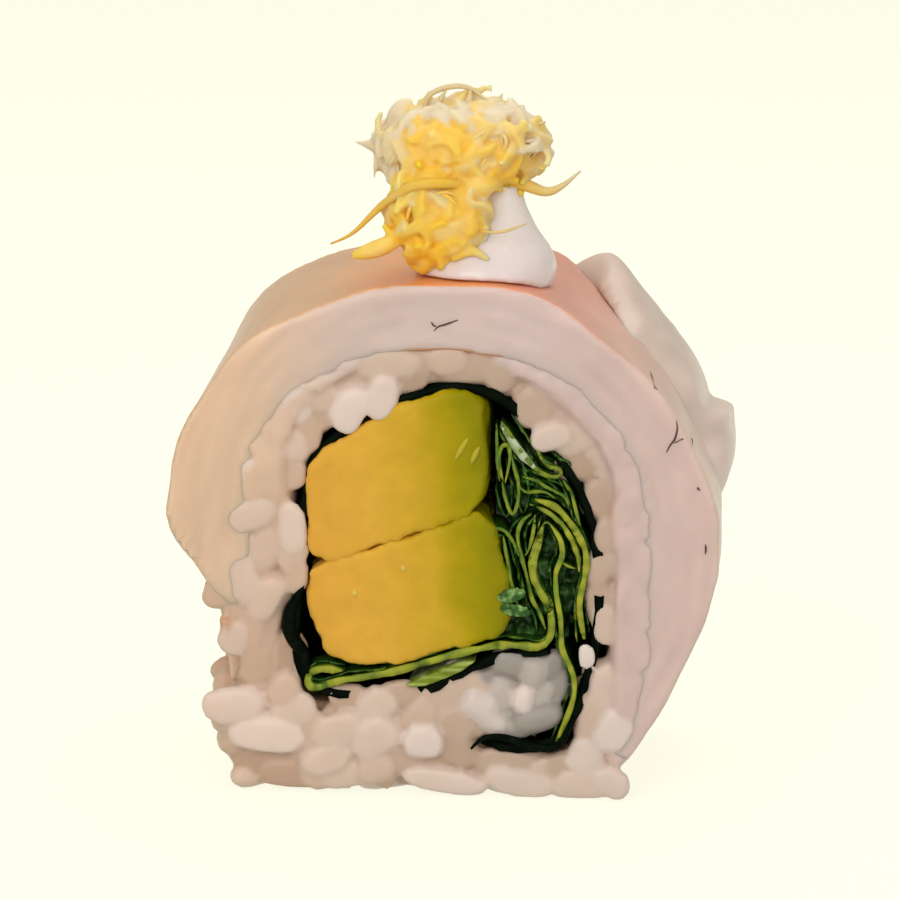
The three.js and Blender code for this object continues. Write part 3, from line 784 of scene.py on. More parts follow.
# The cut lines of the leaves in the section, each with its thickness in mm and how bright its rim is
LEAF_LINES = {
    "leaf_outer": (0.5, 1.0, [
        (6.8, 23.3), (7.7, 23.1), (8.5, 22.7), (9.1, 22.1), (9.7, 21.3), (10.3, 20.4), (10.7, 19.4),
        (10.8, 18.4), (10.6, 17.2), (10.3, 16.1), (10.2, 15), (10.4, 13.8), (10.6, 12.6)]),
    "leaf_rib": (0.35, 0.9, [
        (6.9, 22.7), (7.8, 22.4), (8.7, 21.7), (9.3, 20.9), (9.8, 19.9), (10.15, 18.9), (10.2, 17.8)]),
    "leaf_tail": (0.4, 0.9, [
        (8, 21.4), (8.6, 20.7), (9, 19.7), (8.9, 18.7), (8.45, 18), (8.4, 17), (8.5, 15.8), (8.8, 14.5),
        (8.9, 13.2), (8.85, 11.8), (9.5, 10.7), (9.95, 9.4), (9.9, 8.2), (9.5, 6.9), (8.9, 5.4), (8.5, 4.5)]),
    "leaf_twig": (0.25, 0.7, [(8.9, 18.5), (9.5, 18.2), (10, 18)]),
    "leaf_inner": (0.28, 0.5, [
        (6.6, 22.2), (6.1, 21.9), (5.7, 21.3), (5.5, 20.5), (5.7, 19.6), (5.9, 18.8), (6.1, 18), (6.4, 17),
        (6.5, 16.1), (6.9, 15.2), (7.4, 14.3), (7.7, 13.3)]),
    "leaf_slip": (0.28, 0.6, [(6.85, 22.1), (6.8, 21.1), (6.6, 20.1), (6.4, 19.3), (6.1, 19)]),
    "leaf_under": (0.55, 0.9, [
        (-7.6, 9.75), (-8.7, 9.95), (-9.6, 9.9), (-10.3, 9.5), (-10.4, 8.8), (-10, 8.35), (-9.2, 8.5),
        (-8.2, 9), (-7.1, 9.2), (-5.7, 9.35), (-4.3, 9.7), (-2.8, 10.1), (-1, 10.7), (1.3, 11.4),
        (3.2, 11.9), (4.9, 12.15), (6, 12), (7.1, 11.9), (7.9, 12.3), (8.2, 13.2), (8.15, 14.3),
        (7.9, 15.3), (7.4, 16), (6.95, 16.8), (6.65, 17.7), (6.7, 18.7), (7, 19.6), (7.2, 20.4), (7.45, 21.3)]),
    "leaf_arch": (0.25, 0.5, [(7.4, 21.3), (7.7, 21.7), (8.1, 21.3), (8.5, 20.6)]),
    "leaf_low": (0.25, 0.4, [(2.9, 21.1), (3.7, 21), (4.5, 21), (5, 20.5), (5.4, 19.7), (5.7, 18.8)]),
    "leaf_lower": (0.25, 0.35, [(4.5, 20.4), (4.7, 19.2), (4.9, 18.2), (5, 17.2), (5.3, 16.3), (5.6, 15)]),
    "leaf_loop": (0.26, 0.5, [
        (4.6, 24.4), (4.8, 25.4), (5, 26.3), (5, 27.1), (4.6, 27.6), (4.2, 27.1), (4.1, 26.2), (4.3, 25.3),
        (4.5, 24.6)]),
    "leaf_folds": (0.26, 0.5, [
        (5.1, 26.6), (5.3, 25.6), (5.6, 24.8), (5.7, 23.7), (5.5, 22.7), (5.2, 21.9), (4.8, 22.8),
        (4.5, 23.8), (4.4, 24.6)]),
    "leaf_top": (0.3, 0.55, [
        (4.3, 29.2), (4.9, 28.4), (5.5, 27.4), (6.1, 26.5), (6.8, 25.7), (7.5, 25.2), (8.2, 25), (8.7, 25.1),
        (8.9, 25.4), (8.5, 25.8), (8, 25.7), (7.5, 26.1), (7.2, 26.7), (6.9, 27.2)]),
    "leaf_side": (0.25, 0.4, [(3.95, 29), (4, 27.9), (4, 26.8), (4.1, 25.6), (4.2, 24.6)]),
    "leaf_fall": (0.28, 0.45, [
        (8.9, 24.8), (9.4, 24.2), (9.7, 23.5), (9.9, 22.6), (10.1, 21.8), (10.3, 21.3)]),
    "leaf_curl": (0.26, 0.45, [
        (5.9, 25), (6.8, 24.8), (7.5, 24.4), (8.2, 24), (8.9, 23.7), (9.3, 23.3), (9.4, 22.8)]),
    "leaf_crease": (0.24, 0.4, [(5.7, 24.3), (6.2, 23.7), (6.9, 24), (7.7, 23.9), (8.4, 23.4)]),
}
LEAF_NODES = {"leaf_outer", "leaf_tail", "leaf_inner", "leaf_under", "leaf_folds", "leaf_top"}
LEAF_SWAY = 0.6  # how far a blade wanders between the cuts, in mm
# The darkest leaf green is painted shade, for blades deep behind the cut.
LEAF_DEEP_SHADE, LEAF_GREEN, LEAF_EDGE, LEAF_RIB = (4, 18, 3), (36, 74, 16), (72, 112, 26), (160, 162, 42)
PITH = ("leaf_pith", 0.75, [(4.3, 28.9), (4.9, 28), (5.5, 27.1), (6.2, 26.3), (6.9, 25.7)])

# Second blades that lie close to the first ones: name, sideways and upward shift in mm, how bright the rim is
LEAF_ECHOES = [
    ("leaf_top", 0.75, 0.55, 0.15), ("leaf_top", -0.45, -0.5, 0.1), ("leaf_outer", 0.32, 0.3, 0.6),
    ("leaf_outer", -0.42, -0.35, 0.8), ("leaf_curl", 0.15, 0.6, 0.1), ("leaf_curl", 0.1, -0.55, 0.2),
    ("leaf_inner", 0.5, 0.05, 0.1), ("leaf_inner", -0.55, -0.2, 0.0), ("leaf_tail", -0.45, 0.1, 0.35),
    ("leaf_folds", 0.75, 0.1, 0.1), ("leaf_folds", -0.55, -0.3, 0.2), ("leaf_crease", 0.4, 0.5, 0.2),
    ("leaf_fall", -0.5, 0.2, 0.2), ("leaf_lower", 0.75, -0.6, 0.1), ("leaf_lower", -0.5, 0.2, 0.0),
    ("leaf_slip", 0.35, -0.2, 0.3), ("leaf_under", 0.15, 0.45, 0.25), ("leaf_low", 0.1, -0.6, 0.0),
]


def leaf_tints(points, bright):
    # Blades are painted darker the deeper they lie behind the cut: painted shade.
    blade = shades(LEAF_GREEN, LEAF_DEEP_SHADE, smooth(from_cut(points), 0.3, 4))
    rim = shades(LEAF_EDGE, LEAF_RIB, mottled(points[:, [0, 2]], 2.5, 12, bright, 0.4))
    return blade + (rim - blade) * (1 - smooth(from_cut(points), 0.1, 0.6))[:, None]


def make_leaves():
    for seed, (name, (thickness, bright, line)) in enumerate(LEAF_LINES.items()):
        blade = drawn_sheet(name + "_blade", line, thickness * 1.25, LEAF_SWAY, seed, 0.25)
        paint(blade, leaf_tints(points_of(blade), bright))
        place(blade, "leaf", leaf_skin, *([name] if name in LEAF_NODES else []))
    for seed, (name, aside, up, bright) in enumerate(LEAF_ECHOES):
        line = [
            (x + aside + dice.uniform(-0.15, 0.15), z + up + dice.uniform(-0.15, 0.15))
            for x, z in LEAF_LINES[name][2]
        ]
        blade = drawn_sheet(f"{name}_fold_{seed}", line, 0.22, LEAF_SWAY, seed + 30, 0.5)
        points = points_of(blade)
        points[:, 1] *= 0.985 - 0.01 * (seed % 3)
        move_points(blade, points)
        paint(blade, leaf_tints(points, bright))
        place(blade, "leaf", leaf_skin)
    name, thickness, line = PITH
    pith = drawn_sheet(name, line, thickness, 0.3, 77, 0.3)
    points = points_of(pith)
    tints = shades((120, 146, 70), (206, 214, 190), mottled(points, 0.7, 5))
    # The pith is painted darker the deeper it lies behind the cut: painted shade.
    deep = smooth(from_cut(points), 0.5, 3)[:, None]
    paint(pith, tints + (np.array(LEAF_DEEP_SHADE, float) - tints) * deep)
    place(pith, "leaf", leaf_skin)


# Soft folds of leaf behind the cut edges: centre and half sizes in mm
LEAF_FOLDS = [
    ((6.4, 9.2, 23.4), (2.3, 1.7, 4.4)), ((8.2, 9.2, 16.6), (2.3, 1.7, 5.2)), ((5.6, 9.2, 13.4), (2.2, 1.5, 1.7)),
]
# Scraps of leaf on the cut: name, seed, pixel, turn from level, length and width in mm
LEAF_SCRAPS = [("leaf_scrap_a", 12, 512, 595, 14, 2.3, 1.1), ("leaf_scrap_bb", 13, 516, 610, -10, 2.4, 1.0)]


def make_leaf_folds():
    folds = [soft_lump((x, side * y, z), radii) for side in (-1, 1) for (x, y, z), radii in LEAF_FOLDS]
    folds = joined(folds, "leaf_faces")
    refine(folds, 0.25, 1)
    lumpy(folds, 0.7, 0.9)
    light = mottled(points_of(folds) * (1, 0.3, 0.8), 1.3, 77, 0.45, 0.9)
    paint(folds, shades((16, 40, 10), (60, 104, 34), light))
    place(folds, "leaf", leaf_skin)


def leaf_scrap(name, seed, px, py, turn, length, width):
    """A small piece of leaf that lies flat on the cut: a round sheet pinched to two tips."""
    deselect_all()
    centre = tuple(part * MM for part in on_cut(px, py, FRONT - 0.1))
    bpy.ops.mesh.primitive_circle_add(
        vertices=16, radius=MM, fill_type="TRIFAN", location=centre, rotation=(math.pi / 2, 0, 0)
    )
    scrap = named(name)
    edit(scrap)
    bpy.ops.transform.resize(value=(length / 2, 1, width / 2), center_override=centre)
    bpy.ops.transform.rotate(value=math.radians(turn), orient_axis="Y", center_override=centre)
    bpy.ops.mesh.subdivide(number_cuts=2)
    bpy.ops.transform.vertex_random(offset=0.12 * MM, seed=seed)
    done()
    finish_with(scrap, "SOLIDIFY", thickness=0.2 * MM, offset=0)
    finish_with(scrap, "SUBSURF", levels=1, render_levels=1)
    shade_round(scrap)
    paint(scrap, shades((34, 78, 18), (140, 172, 100), mottled(points_of(scrap), 0.8, 2, 0.25)))
    place(scrap, "leaf", leaf_skin)


def make_leaf_heart():
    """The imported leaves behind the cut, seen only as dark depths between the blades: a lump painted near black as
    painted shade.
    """
    deselect_all()
    centre = (7 * MM, 0, 20 * MM)
    bpy.ops.mesh.primitive_cylinder_add(
        vertices=32, radius=MM, depth=17 * MM, location=centre, rotation=(math.pi / 2, 0, 0)
    )
    heart = named("leaf_heart")
    edit(heart)
    bpy.ops.transform.resize(value=(3.3, 1, 8.2), center_override=centre)
    bpy.ops.transform.rotate(value=math.radians(12), orient_axis="Y", center_override=centre)
    done()
    refine(heart, 0.5, 3)
    lumpy(heart, 2.5, 0.8)
    # Painted near black: painted shade deep between the blades.
    paint(heart, shades((3, 12, 2), (20, 46, 10), dice.random(len(heart.data.vertices))))
    place(heart, "leaf", leaf_skin)


def make_stem():
    stem = copy_of("leaf_stem", "leaf_stalk")
    refine(stem, 0.2, 4)
    streak = mottled(points_of(stem) * (0.15, 0.3, 1.6), 0.9, 3, 0.5, 0.8)
    paint(stem, shades((112, 128, 22), (178, 192, 110), streak))
    place(stem, "leaf", leaf_skin, "leaf_stem")


# ---------------------------------------------------------------- avocado
# Where the slices turn from yellow to green, in mm from left to right and as seen
AVOCADO_TINTS = {
    -10: (226, 170, 68), -5: (224, 174, 64), -1: (204, 166, 44), 1: (177, 155, 12), 3: (150, 140, 0),
    5: (124, 120, 0),
}
AVOCADO_SWELL = (0.55, 0.05, 0.35)  # how far the slices swell along X, Y and Z, in mm


def avocado_tint(points):
    """Yellow by the stone and green by the skin."""
    x = points[:, 0] + 0.12 * (points[:, 2] - 20) + 0.6 * wave(points[:, [0, 2]], 5, 8)
    return tints_along(x, AVOCADO_TINTS)


def make_avocado():
    for node in ("avocado_upper", "avocado_lower"):
        piece = copy_of(node, node.replace("avocado", "avocado_slice"))
        refine(piece, 0.3, 3)
        points = points_of(piece)
        swell = 1 + 0.5 * wave(points, 2.4, 41)[:, None]
        points += normals_of(piece) * AVOCADO_SWELL * swell
        if node == "avocado_upper":
            points[:, 0] -= 1.2 * smooth(points[:, 0], 0, 4.5)
            points[:, 2] += 0.5 * smooth(points[:, 0], 0, 3.5) * smooth(points[:, 2], 25, 30)
        move_points(piece, points)
        lumpy(piece, 1.6, 0.14)
        paint(piece, avocado_tint(points_of(piece)))
        place(piece, "avocado", avocado_flesh, node)


# Marks of the knife on the avocado's cut, as pixels
SMEARS = [[(468, 437), (462, 447), (455, 459)], [(479, 446), (475, 454), (471, 463)], [(402, 566), (403, 574)],
          [(352, 592), (354, 600)]]


def make_smears():
    """Soft raised marks that the knife left on the avocado's cut."""
    marks = [strand("avocado_smear", [on_cut(px, py, FRONT - 0.02) for px, py in line], 0.5) for line in SMEARS]
    smears = joined(marks, "avocado_smears")
    paint(smears, avocado_tint(points_of(smears)) * 0.6 + np.array((230, 214, 120), float) * 0.4)
    place(smears, "avocado", avocado_flesh)


# ---------------------------------------------------------------- fish
# The skin side of the front slice from left to right, in mm and as seen
SKIN_TINTS = {
    -18: (214, 175, 142), -10: (214, 169, 132), -4: (236, 158, 98), 2: (242, 152, 84), 6: (232, 150, 122),
    9: (222, 156, 138), 13: (219, 173, 158), 18: (216, 188, 176),
}


def fish_tint(points, normals):
    skin = tints_along(points[:, 0], SKIN_TINTS)
    cut = smooth(np.abs(normals[:, 1]), 0.35, 0.8)[:, None]
    tint = skin + (tints_along(points[:, 0], CUT_TINTS) - skin) * cut
    x, z = points[:, 0], points[:, 2] - 20
    grain = wave(np.stack([np.hypot(x, z) * 1.6, np.arctan2(z, x) * 3, x * 0.1], axis=1), 1.6, 22)
    return tint * (1 + 0.02 * wave(points, 6, 21) + 0.022 * grain)[:, None]


def back_tint(points, normals):
    tint = shades((227, 204, 198), (213, 191, 181), smooth(points[:, 2], 20, 34))
    return tint * (1 + 0.03 * wave(points, 5, 25))[:, None]


# The outline that the under slice shows beside the upper one, as pixels
UNDER_OUTLINE = [
    (530, 243), (552, 246), (575, 251), (600, 263), (622, 283), (640, 309), (664, 336), (689, 367), (704, 398),
    (711, 417), (735, 421), (736, 445), (735, 470), (726, 500), (712, 527),
]
# How the under slice is tucked in, in mm: inwards and forwards along its front edge, and down along its foot,
# there further at the back
TUCK = {"inwards": 1.4, "forwards": 2.6, "down": 2.6, "corner": 1.6}
BEND = (-3, 2.2)  # how far its outline may be moved inwards and outwards, in mm
INTO_RICE = (0.25, 1.1)  # how far the front slice's inner side runs into the rice, at the top and at the sides


def tuck_under(points):
    """Slips the under slice beneath the upper one; gives how far each point lies behind its front edge."""
    angle = np.degrees(np.arctan2(points[:, 2] - 21, points[:, 0]))
    bins = np.arange(-20, 84, 4)
    edge = [points[np.abs(angle - b) < 4, 1].min(initial=99) for b in bins]
    known = [k for k, y in enumerate(edge) if y < 99]
    front = np.interp(angle, bins[known], np.array(edge)[known])
    near = 1 - smooth(points[:, 1] - front, 0.3, 3)
    out = np.stack([np.cos(np.radians(angle)), np.sin(np.radians(angle))], axis=1)
    points[:, [0, 2]] -= out * (TUCK["inwards"] * near)[:, None]
    points[:, 1] -= TUCK["forwards"] * near
    down = TUCK["down"] + TUCK["corner"] * smooth(points[:, 1], 5, 12)
    points[:, 2] -= down * (1 - smooth(points[:, 2], 20.5, 26))
    return points[:, 1] - front


def follow_outline(points, normals, behind):
    """Moves the outer skin of the under slice so that, as seen, its outline runs as drawn."""
    nearer = 1 + (points[:, 1] - FRONT) / SIGHT["away"]
    seen_x = (points[:, 0] + SEEN_ASIDE * (points[:, 1] - FRONT)) / nearer
    seen_z = (points[:, 2] + SEEN_UP * (points[:, 1] - FRONT)) / nearer - 20
    angle, reach = np.degrees(np.arctan2(seen_z, seen_x)), np.hypot(seen_x, seen_z)
    drawn = np.array([at_pixel(px, py) for px, py in UNDER_OUTLINE]) - (0, 20)
    drawn_angle, drawn_reach = np.degrees(np.arctan2(drawn[:, 1], drawn[:, 0])), np.hypot(*drawn.T)
    bins = np.arange(0, 78, 1.5)
    widest = np.array([reach[np.abs(angle - b) < 1.5].max(initial=0) for b in bins])
    move = np.where(widest > 0, np.interp(bins, drawn_angle[::-1], drawn_reach[::-1]) - widest, 0)
    move = np.interp(angle, bins, np.clip(move, *BEND)) * smooth(angle, -6, 3) * (1 - smooth(angle, 72, 80))
    move *= np.where(move > 0, smooth(behind, 0.5, 7), 1)
    out = np.stack([seen_x, seen_z], axis=1) / reach[:, None]
    outer = smooth((normals[:, [0, 2]] * out).sum(axis=1), -0.3, 0.5)
    points[:, [0, 2]] += out * (move * outer)[:, None]


def make_fish():
    for node, name, tint in (("fish_front", "fish_slice", fish_tint), ("fish_back", "fish_under_slice", back_tint)):
        slice_ = copy_of(node, name)
        refine(slice_, 0.36, 4)
        lumpy(slice_, 5, 0.12)
        if node == "fish_back":
            finish_with(slice_, "SMOOTH", factor=0.5, iterations=60)
        points, normals = points_of(slice_), normals_of(slice_)
        bulge = smooth(-points[:, 0], 12, 16) * smooth(points[:, 2], 14, 18) * (1 - smooth(points[:, 2], 27, 32))
        bulge = 0.4 * bulge + 0.6 * np.exp(-(((points[:, 2] - 20.6) / 2.2) ** 2)) * (points[:, 0] < -12)
        points += normals * (bulge * smooth(-normals[:, 0], 0.1, 0.5))[:, None]
        if node == "fish_back":
            follow_outline(points, normals, tuck_under(points))
        else:
            inner = smooth(-(normals[:, 0] * points[:, 0] + normals[:, 2] * (points[:, 2] - 20)), 4, 10)
            inner *= mix(*INTO_RICE, smooth(np.abs(points[:, 0] - 1), 6, 11))
            points[:, [0, 2]] += normals[:, [0, 2]] * inner[:, None]
        move_points(slice_, points)
        finish_with(slice_, "SMOOTH", factor=0.5, iterations=6 if node == "fish_back" else 2)
        paint(slice_, tint(points_of(slice_), normals_of(slice_)))
        place(slice_, "fish", fish_flesh, node)


# ---------------------------------------------------------------- cream
# The dollop's foot: how far it spreads, as a share, and how far it is trimmed on the right and sinks in, in mm
FOOT = {"spread": 0.06, "trimmed": 0.6, "sunk": 0.35}


def make_cream():
    dollop = copy_of("cream", "cream_dollop")
    refine(dollop, 0.22, 24)
    points = points_of(dollop)
    low = 1 - smooth(points[:, 2], 38.5, 41.5)
    middle = np.array([(points[:, k].min() + points[:, k].max()) / 2 for k in (0, 1)])
    points[:, :2] = middle + (points[:, :2] - middle) * (1 + FOOT["spread"] * low[:, None])
    points[:, 0] -= FOOT["trimmed"] * low * smooth(points[:, 0], 4, 8)
    points[:, 2] -= FOOT["sunk"] * low
    move_points(dollop, points)
    share = smooth(points_of(dollop)[:, 2], 39, 47)
    paint(dollop, shades((230, 216, 218), (244, 236, 236), share))
    place(dollop, "cream", cream_skin, "cream")


# ---------------------------------------------------------------- zest
ZEST_PALE, ZEST_YELLOW, ZEST_DEEP = (226, 210, 182), (246, 208, 112), (246, 192, 48)
# Soft heaps of zest: centre and half sizes in mm, and how many flakes lie on each
ZEST_HEAPS = [
    ((1.6, -5.6, 49.2), (5.4, 3.7, 3.2), 240), ((-2.2, -5.8, 48.8), (3.2, 3.1, 2.8), 90),
    ((-0.7, -8.0, 44.2), (3.6, 2.5, 3.8), 170),
]
CURLS = 54  # fine threads that lie loosely on the heaps
# Threads: thickness at their start and end in mm, and the pixels that they pass with their depth in mm
ZEST_THREADS = [
    (1.5, 0.3, [(470, 190, -8.0), (452, 187, -9.8), (432, 187, -10.6), (414, 189, -10.4), (398, 198, -9.6),
                (384, 207, -9), (370, 220, -8.5), (355, 235, -8), (341, 243, -7.5), (331, 247, -7)]),
    (2.0, 0.3, [(486, 176, -6), (504, 181, -6.3), (524, 187, -6.3), (546, 194, -6.3), (562, 187, -6.3),
                (572, 179, -6.3), (579, 173, -6.3)]),
    (0.25, 0.25, [(478, 233, -9.6), (490, 234, -10.3), (503, 233, -10.3), (515, 229, -10.2), (526, 225, -9.8)]),
    (0.5, 0.4, [(424, 120, -6.5), (427, 104, -6.5), (438, 96, -6.5), (456, 92, -6.5), (472, 95, -6.5),
                (488, 108, -6.5)]),
    (0.6, 0.4, [(482, 108, -6.2), (500, 109, -6.2), (515, 116, -6.2), (530, 128, -6.2), (544, 126, -6.2)]),
    (0.5, 0.3, [(437, 112, -6.8), (441, 104, -6.8), (446, 96, -6.8)]),
    (0.8, 0.5, [(462, 118, -6.8), (468, 108, -6.8), (470, 96, -6.8)]),
    (0.8, 0.4, [(528, 158, -6.2), (539, 146, -6.2), (538, 134, -6.2), (531, 124, -6.2)]),
]
# Thick scraps that fill the heap out, given like the threads
ZEST_SCRAPS = [
    (1.6, 1.3, [(510, 178, -6), (532, 170, -6), (544, 161, -6), (552, 153, -6)]),
    (1.5, 1.4, [(404, 240, -9.2), (388, 247, -9.4), (372, 253, -9.4), (352, 259, -9.4)]),
    (3.0, 0.3, [(402, 156, -5.8), (388, 154, -5.8), (372, 150, -5.8), (354, 147, -5.8)]),
    (2.0, 0.3, [(390, 130, -5.8), (382, 150, -5.8), (377, 168, -5.8), (373, 186, -5.8)]),
    (1.2, 0.5, [(500, 112, -6.2), (520, 122, -6.2), (536, 134, -6.2), (540, 142, -6.2)]),
    (2.0, 1.2, [(392, 140, -5.8), (396, 124, -5.8), (402, 112, -5.8), (412, 106, -5.8)]),
    (2.0, 1.8, [(464, 188, -9), (476, 188, -9), (488, 186, -8.6), (498, 182, -8)]),
    (0.9, 0.6, [(452, 262, -10), (463, 256, -10), (474, 253, -10), (488, 262, -10), (497, 274, -10)]),
]


def zest_shred(curl, length, width):
    """A shred of peel, drawn out along a curl that bends down and in, and narrowed at its end."""
    deselect_all()
    bpy.ops.mesh.primitive_plane_add(size=MM)
    shred = named("zest_shred")
    edit(shred, lambda v: v.x > 0)
    bpy.ops.mesh.delete(type="VERT")
    bpy.ops.mesh.select_all(action="SELECT")
    bpy.ops.transform.resize(value=(1, width, 1), center_override=(0, 0, 0))
    turn, step = curl / 2, length / 5
    for k in range(5):
        bpy.ops.mesh.extrude_region_move(
            TRANSFORM_OT_translate={"value": (step * math.cos(turn) * MM, 0, step * math.sin(turn) * MM)}
        )
        bpy.ops.transform.resize(value=(1, 0.95 if k < 3 else 0.6, 1))
        turn -= curl / 5
    done()
    finish_with(shred, "SOLIDIFY", thickness=0.5 * MM, offset=0)
    shape = taken_up(shred)
    shape["points"] -= shape["points"].mean(axis=0)
    return shape


def zest_tint(points, shade=0.5):
    """Deep to clear yellow, pale towards the rim of the heap and beside the cream, where it is thin."""
    x, z = points[:, 0], points[:, 2]
    rim = smooth(np.hypot((x - 1) / 7.2, (z - 46.5) / 6.8), 0.45, 0.95) * smooth(z, 44, 47)
    rim = np.maximum(rim, 0.7 * smooth(x, 0.5, 4) * (1 - smooth(z, 44, 47)))
    tint = shades(ZEST_DEEP, ZEST_YELLOW, np.clip(shade * 1.4 + 0.5 * wave(points, 4, 61), 0, 1))
    pale = np.clip(rim * (0.5 + shade) + smooth(shade, 0.6, 1.0) * 0.5, 0, 1)
    return tint + (np.array(ZEST_PALE, float) - tint) * pale[:, None]


def zest_strands(name, rows):
    return joined(
        [strand(name, [seen_at(*spot) for spot in line], thick, thin) for thick, thin, line in rows], name
    )


def zest_curl(k):
    """A fine curled thread that lies loosely on one of the heaps."""
    centre, radii, _ = ZEST_HEAPS[(0, 1, 0, 2)[k % 4]]
    out = dice.normal(size=3)
    out[1] = -abs(out[1])
    drift = unit(np.cross(out, dice.normal(size=3)))
    spots = []
    for step in range(5):
        out = unit(out)
        spots.append(np.array(centre) + out * np.array(radii) * (1.0 + 0.06 * math.sin(step * 1.2)))
        drift += 0.35 * dice.normal(size=3)
        out = out + 0.22 * drift / np.linalg.norm(drift)
    curl = strand("zest_curl", spots, dice.uniform(0.3, 0.5), 0.25)
    tint = zest_tint(points_of(curl).mean(axis=0)[None], dice.uniform(0.3, 1))
    paint(curl, tint * np.ones((len(curl.data.vertices), 1)))
    return curl


def make_zest():
    """Shreds of peel laid round soft heaps and run together, as moist zest is, with long threads."""
    shreds = [zest_shred(*sizes) for sizes in ((1.2, 3.2, 1.3), (1.8, 3.8, 1.0), (0.6, 2.4, 1.7), (2.6, 4.2, 0.8))]
    heap = Heap()
    for centre, radii, count in ZEST_HEAPS:
        for k in range(count):
            out = unit(dice.normal(size=3))
            proud = k % 6 == 0
            spot = np.array(centre) + out * np.array(radii) * dice.uniform(0.93, 1.03)
            facing = unit(out + 0.25 * dice.normal(size=3))
            along = unit(unit(np.cross(facing, dice.normal(size=3))) + (0.9 * out if proud else 0))
            side = unit(np.cross(facing, along))
            axes = np.array([along, side, np.cross(along, side)])
            shape = shreds[dice.integers(len(shreds))]
            points = shape["points"] * dice.uniform(0.7, 1.05) @ axes + spot
            heap.add(shape, points, zest_tint(points.mean(axis=0)[None], dice.uniform(0, 1)))
    scraps = zest_strands("zest_scraps", ZEST_SCRAPS)
    cores = [soft_lump(centre, radii) for centre, radii, _ in ZEST_HEAPS] + [scraps]
    mass = run_together(heap, "zest_mass", [(core, zest_tint(points_of(core))) for core in cores], 0.18, 2)
    place(mass, "zest", zest_skin, "zest")
    threads = zest_strands("zest_threads", ZEST_THREADS)
    paint(threads, zest_tint(points_of(threads), 0.3) * 0.96)
    place(threads, "zest", zest_thin)
    curls = joined([zest_curl(k) for k in range(CURLS)], "zest_curls")
    place(curls, "zest", zest_thin)


# ---------------------------------------------------------------- fine dark marks on the fish
# Their lines as pixels, their thickness, and how far behind the cut they may lie, both in mm
VEIN_THICK, VEIN_DEEPEST = 0.16, 4
VEINS = [
    [(675.7, 417), (676.6, 425.6), (674, 436), (669.7, 441.6), (666, 449)],
    [(674, 439.5), (682.5, 435), (691, 435), (698.5, 440.5)],
    [(433.5, 332), (438, 327.5), (446, 325), (458, 320.5)],
    [(431, 323), (433, 326), (436, 327.5)],
    [(649.5, 369), (660, 378.7), (666.5, 378.7)],
    [(706, 540), (706.5, 545), (706, 550)],
    [(697, 483), (698.5, 485), (700, 486)],
]


def make_veins():
    """Lays each line on the fish where the camera sees it."""
    fish = bpy.data.objects["fish_slice"]
    eye = bpy.context.scene.camera.location
    threads = []
    for line in VEINS:
        spots = []
        for px, py in line:
            x, z = at_pixel(px, py)
            aim = Vector((x, FRONT, z)) * MM
            hit, spot, _, _ = fish.ray_cast(eye, (aim - eye).normalized())
            if not hit or abs(spot.y - aim.y) > VEIN_DEEPEST * MM:
                spot = fish.closest_point_on_mesh(aim)[1]
            spots.append(np.array(spot) / MM)
        threads.append(strand("fish_vein", spots, VEIN_THICK))
    veins = joined(threads, "fish_veins")
    paint(veins, shades((66, 30, 28), (110, 62, 50), dice.random(len(veins.data.vertices))))
    place(veins, "fish", fish_flesh)


# ---------------------------------------------------------------- stage, lights and camera
PAPER = (1.0, 0.991, 0.838)


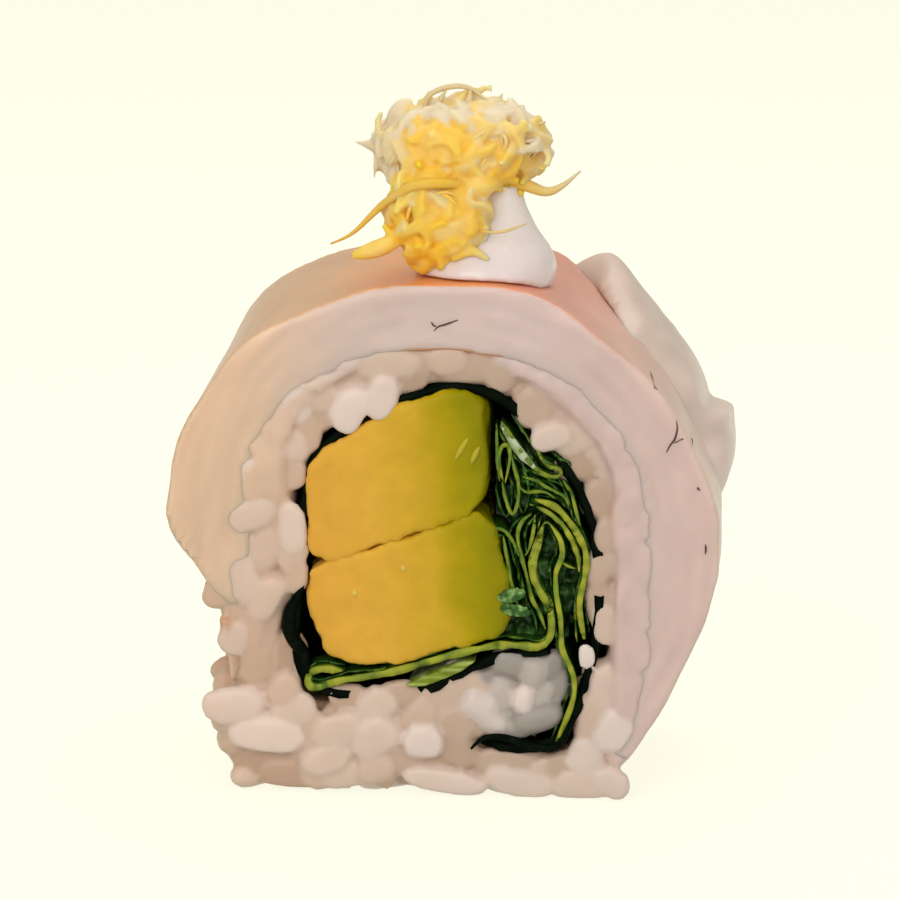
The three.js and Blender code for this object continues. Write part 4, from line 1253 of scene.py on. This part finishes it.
def make_stage():
    deselect_all()
    bpy.ops.mesh.primitive_plane_add(size=6)
    floor = named("floor")
    paper = bpy.data.materials.new("paper")
    paper.use_nodes = True
    shader = paper.node_tree.nodes["Principled BSDF"]
    shader.inputs["Base Color"].default_value = (0.2, 0.2, 0.17, 1)
    shader.inputs["Roughness"].default_value = 0.9
    shader.inputs["Specular IOR Level"].default_value = 0.1
    shader.inputs["Emission Color"].default_value = (*PAPER, 1)
    shader.inputs["Emission Strength"].default_value = 0.87
    floor.data.materials.append(paper)
    floor.visible_diffuse = False

    world = bpy.data.worlds.new("studio")
    bpy.context.scene.world = world
    world.use_nodes = True
    nodes, links = world.node_tree.nodes, world.node_tree.links
    air = nodes["Background"]
    air.inputs["Color"].default_value = (*PAPER, 1)
    ray = nodes.new("ShaderNodeLightPath")
    level = nodes.new("ShaderNodeMapRange")
    level.inputs["To Min"].default_value = 0.48
    level.inputs["To Max"].default_value = 1.0
    links.new(ray.outputs["Is Camera Ray"], level.inputs["Value"])
    links.new(level.outputs["Result"], air.inputs["Strength"])


def soft_light(name, spot, aim, size, power, colour):
    """A soft box, all sizes in mm."""
    deselect_all()
    bpy.ops.object.light_add(type="AREA", location=Vector(spot) * MM)
    lamp = bpy.context.active_object
    lamp.name = name
    lamp.rotation_euler = (Vector(aim) - Vector(spot)).to_track_quat("-Z", "Y").to_euler()
    lamp.data.size = size * MM
    lamp.data.energy = power
    lamp.data.color = colour


def make_lights():
    soft_light("key", (-160, -450, 260), (0, 0, 22), 400, 1.3, (1.0, 0.97, 0.93))
    soft_light("fill", (260, -420, 140), (0, 0, 22), 320, 0.5, (0.96, 0.97, 1.0))
    soft_light("overhead", (40, 120, 400), (0, 0, 22), 360, 0.7, (1.0, 0.97, 0.94))


def make_camera():
    turn, lift = math.radians(SIGHT["turn"]), math.radians(SIGHT["lift"])
    back = Vector((math.sin(turn) * math.cos(lift), -math.cos(turn) * math.cos(lift), math.sin(lift)))
    bpy.ops.object.camera_add(location=(Vector(SIGHT["aim"]) + back * SIGHT["away"]) * MM)
    camera = bpy.context.active_object
    camera.rotation_euler = (-back).to_track_quat("-Z", "Y").to_euler()
    camera.data.sensor_width = 36
    camera.data.lens = SIGHT["lens"]
    camera.data.clip_start = 0.01
    bpy.context.scene.camera = camera
    bpy.context.scene.view_settings.view_transform = "Standard"


make_camera()
make_lights()
make_stage()
make_rice()
make_seaweed()
make_leaves()
make_leaf_folds()
make_leaf_heart()
make_stem()
for scrap in LEAF_SCRAPS:
    leaf_scrap(*scrap)
make_avocado()
make_smears()
make_fish()
make_veins()
make_cream()
make_zest()
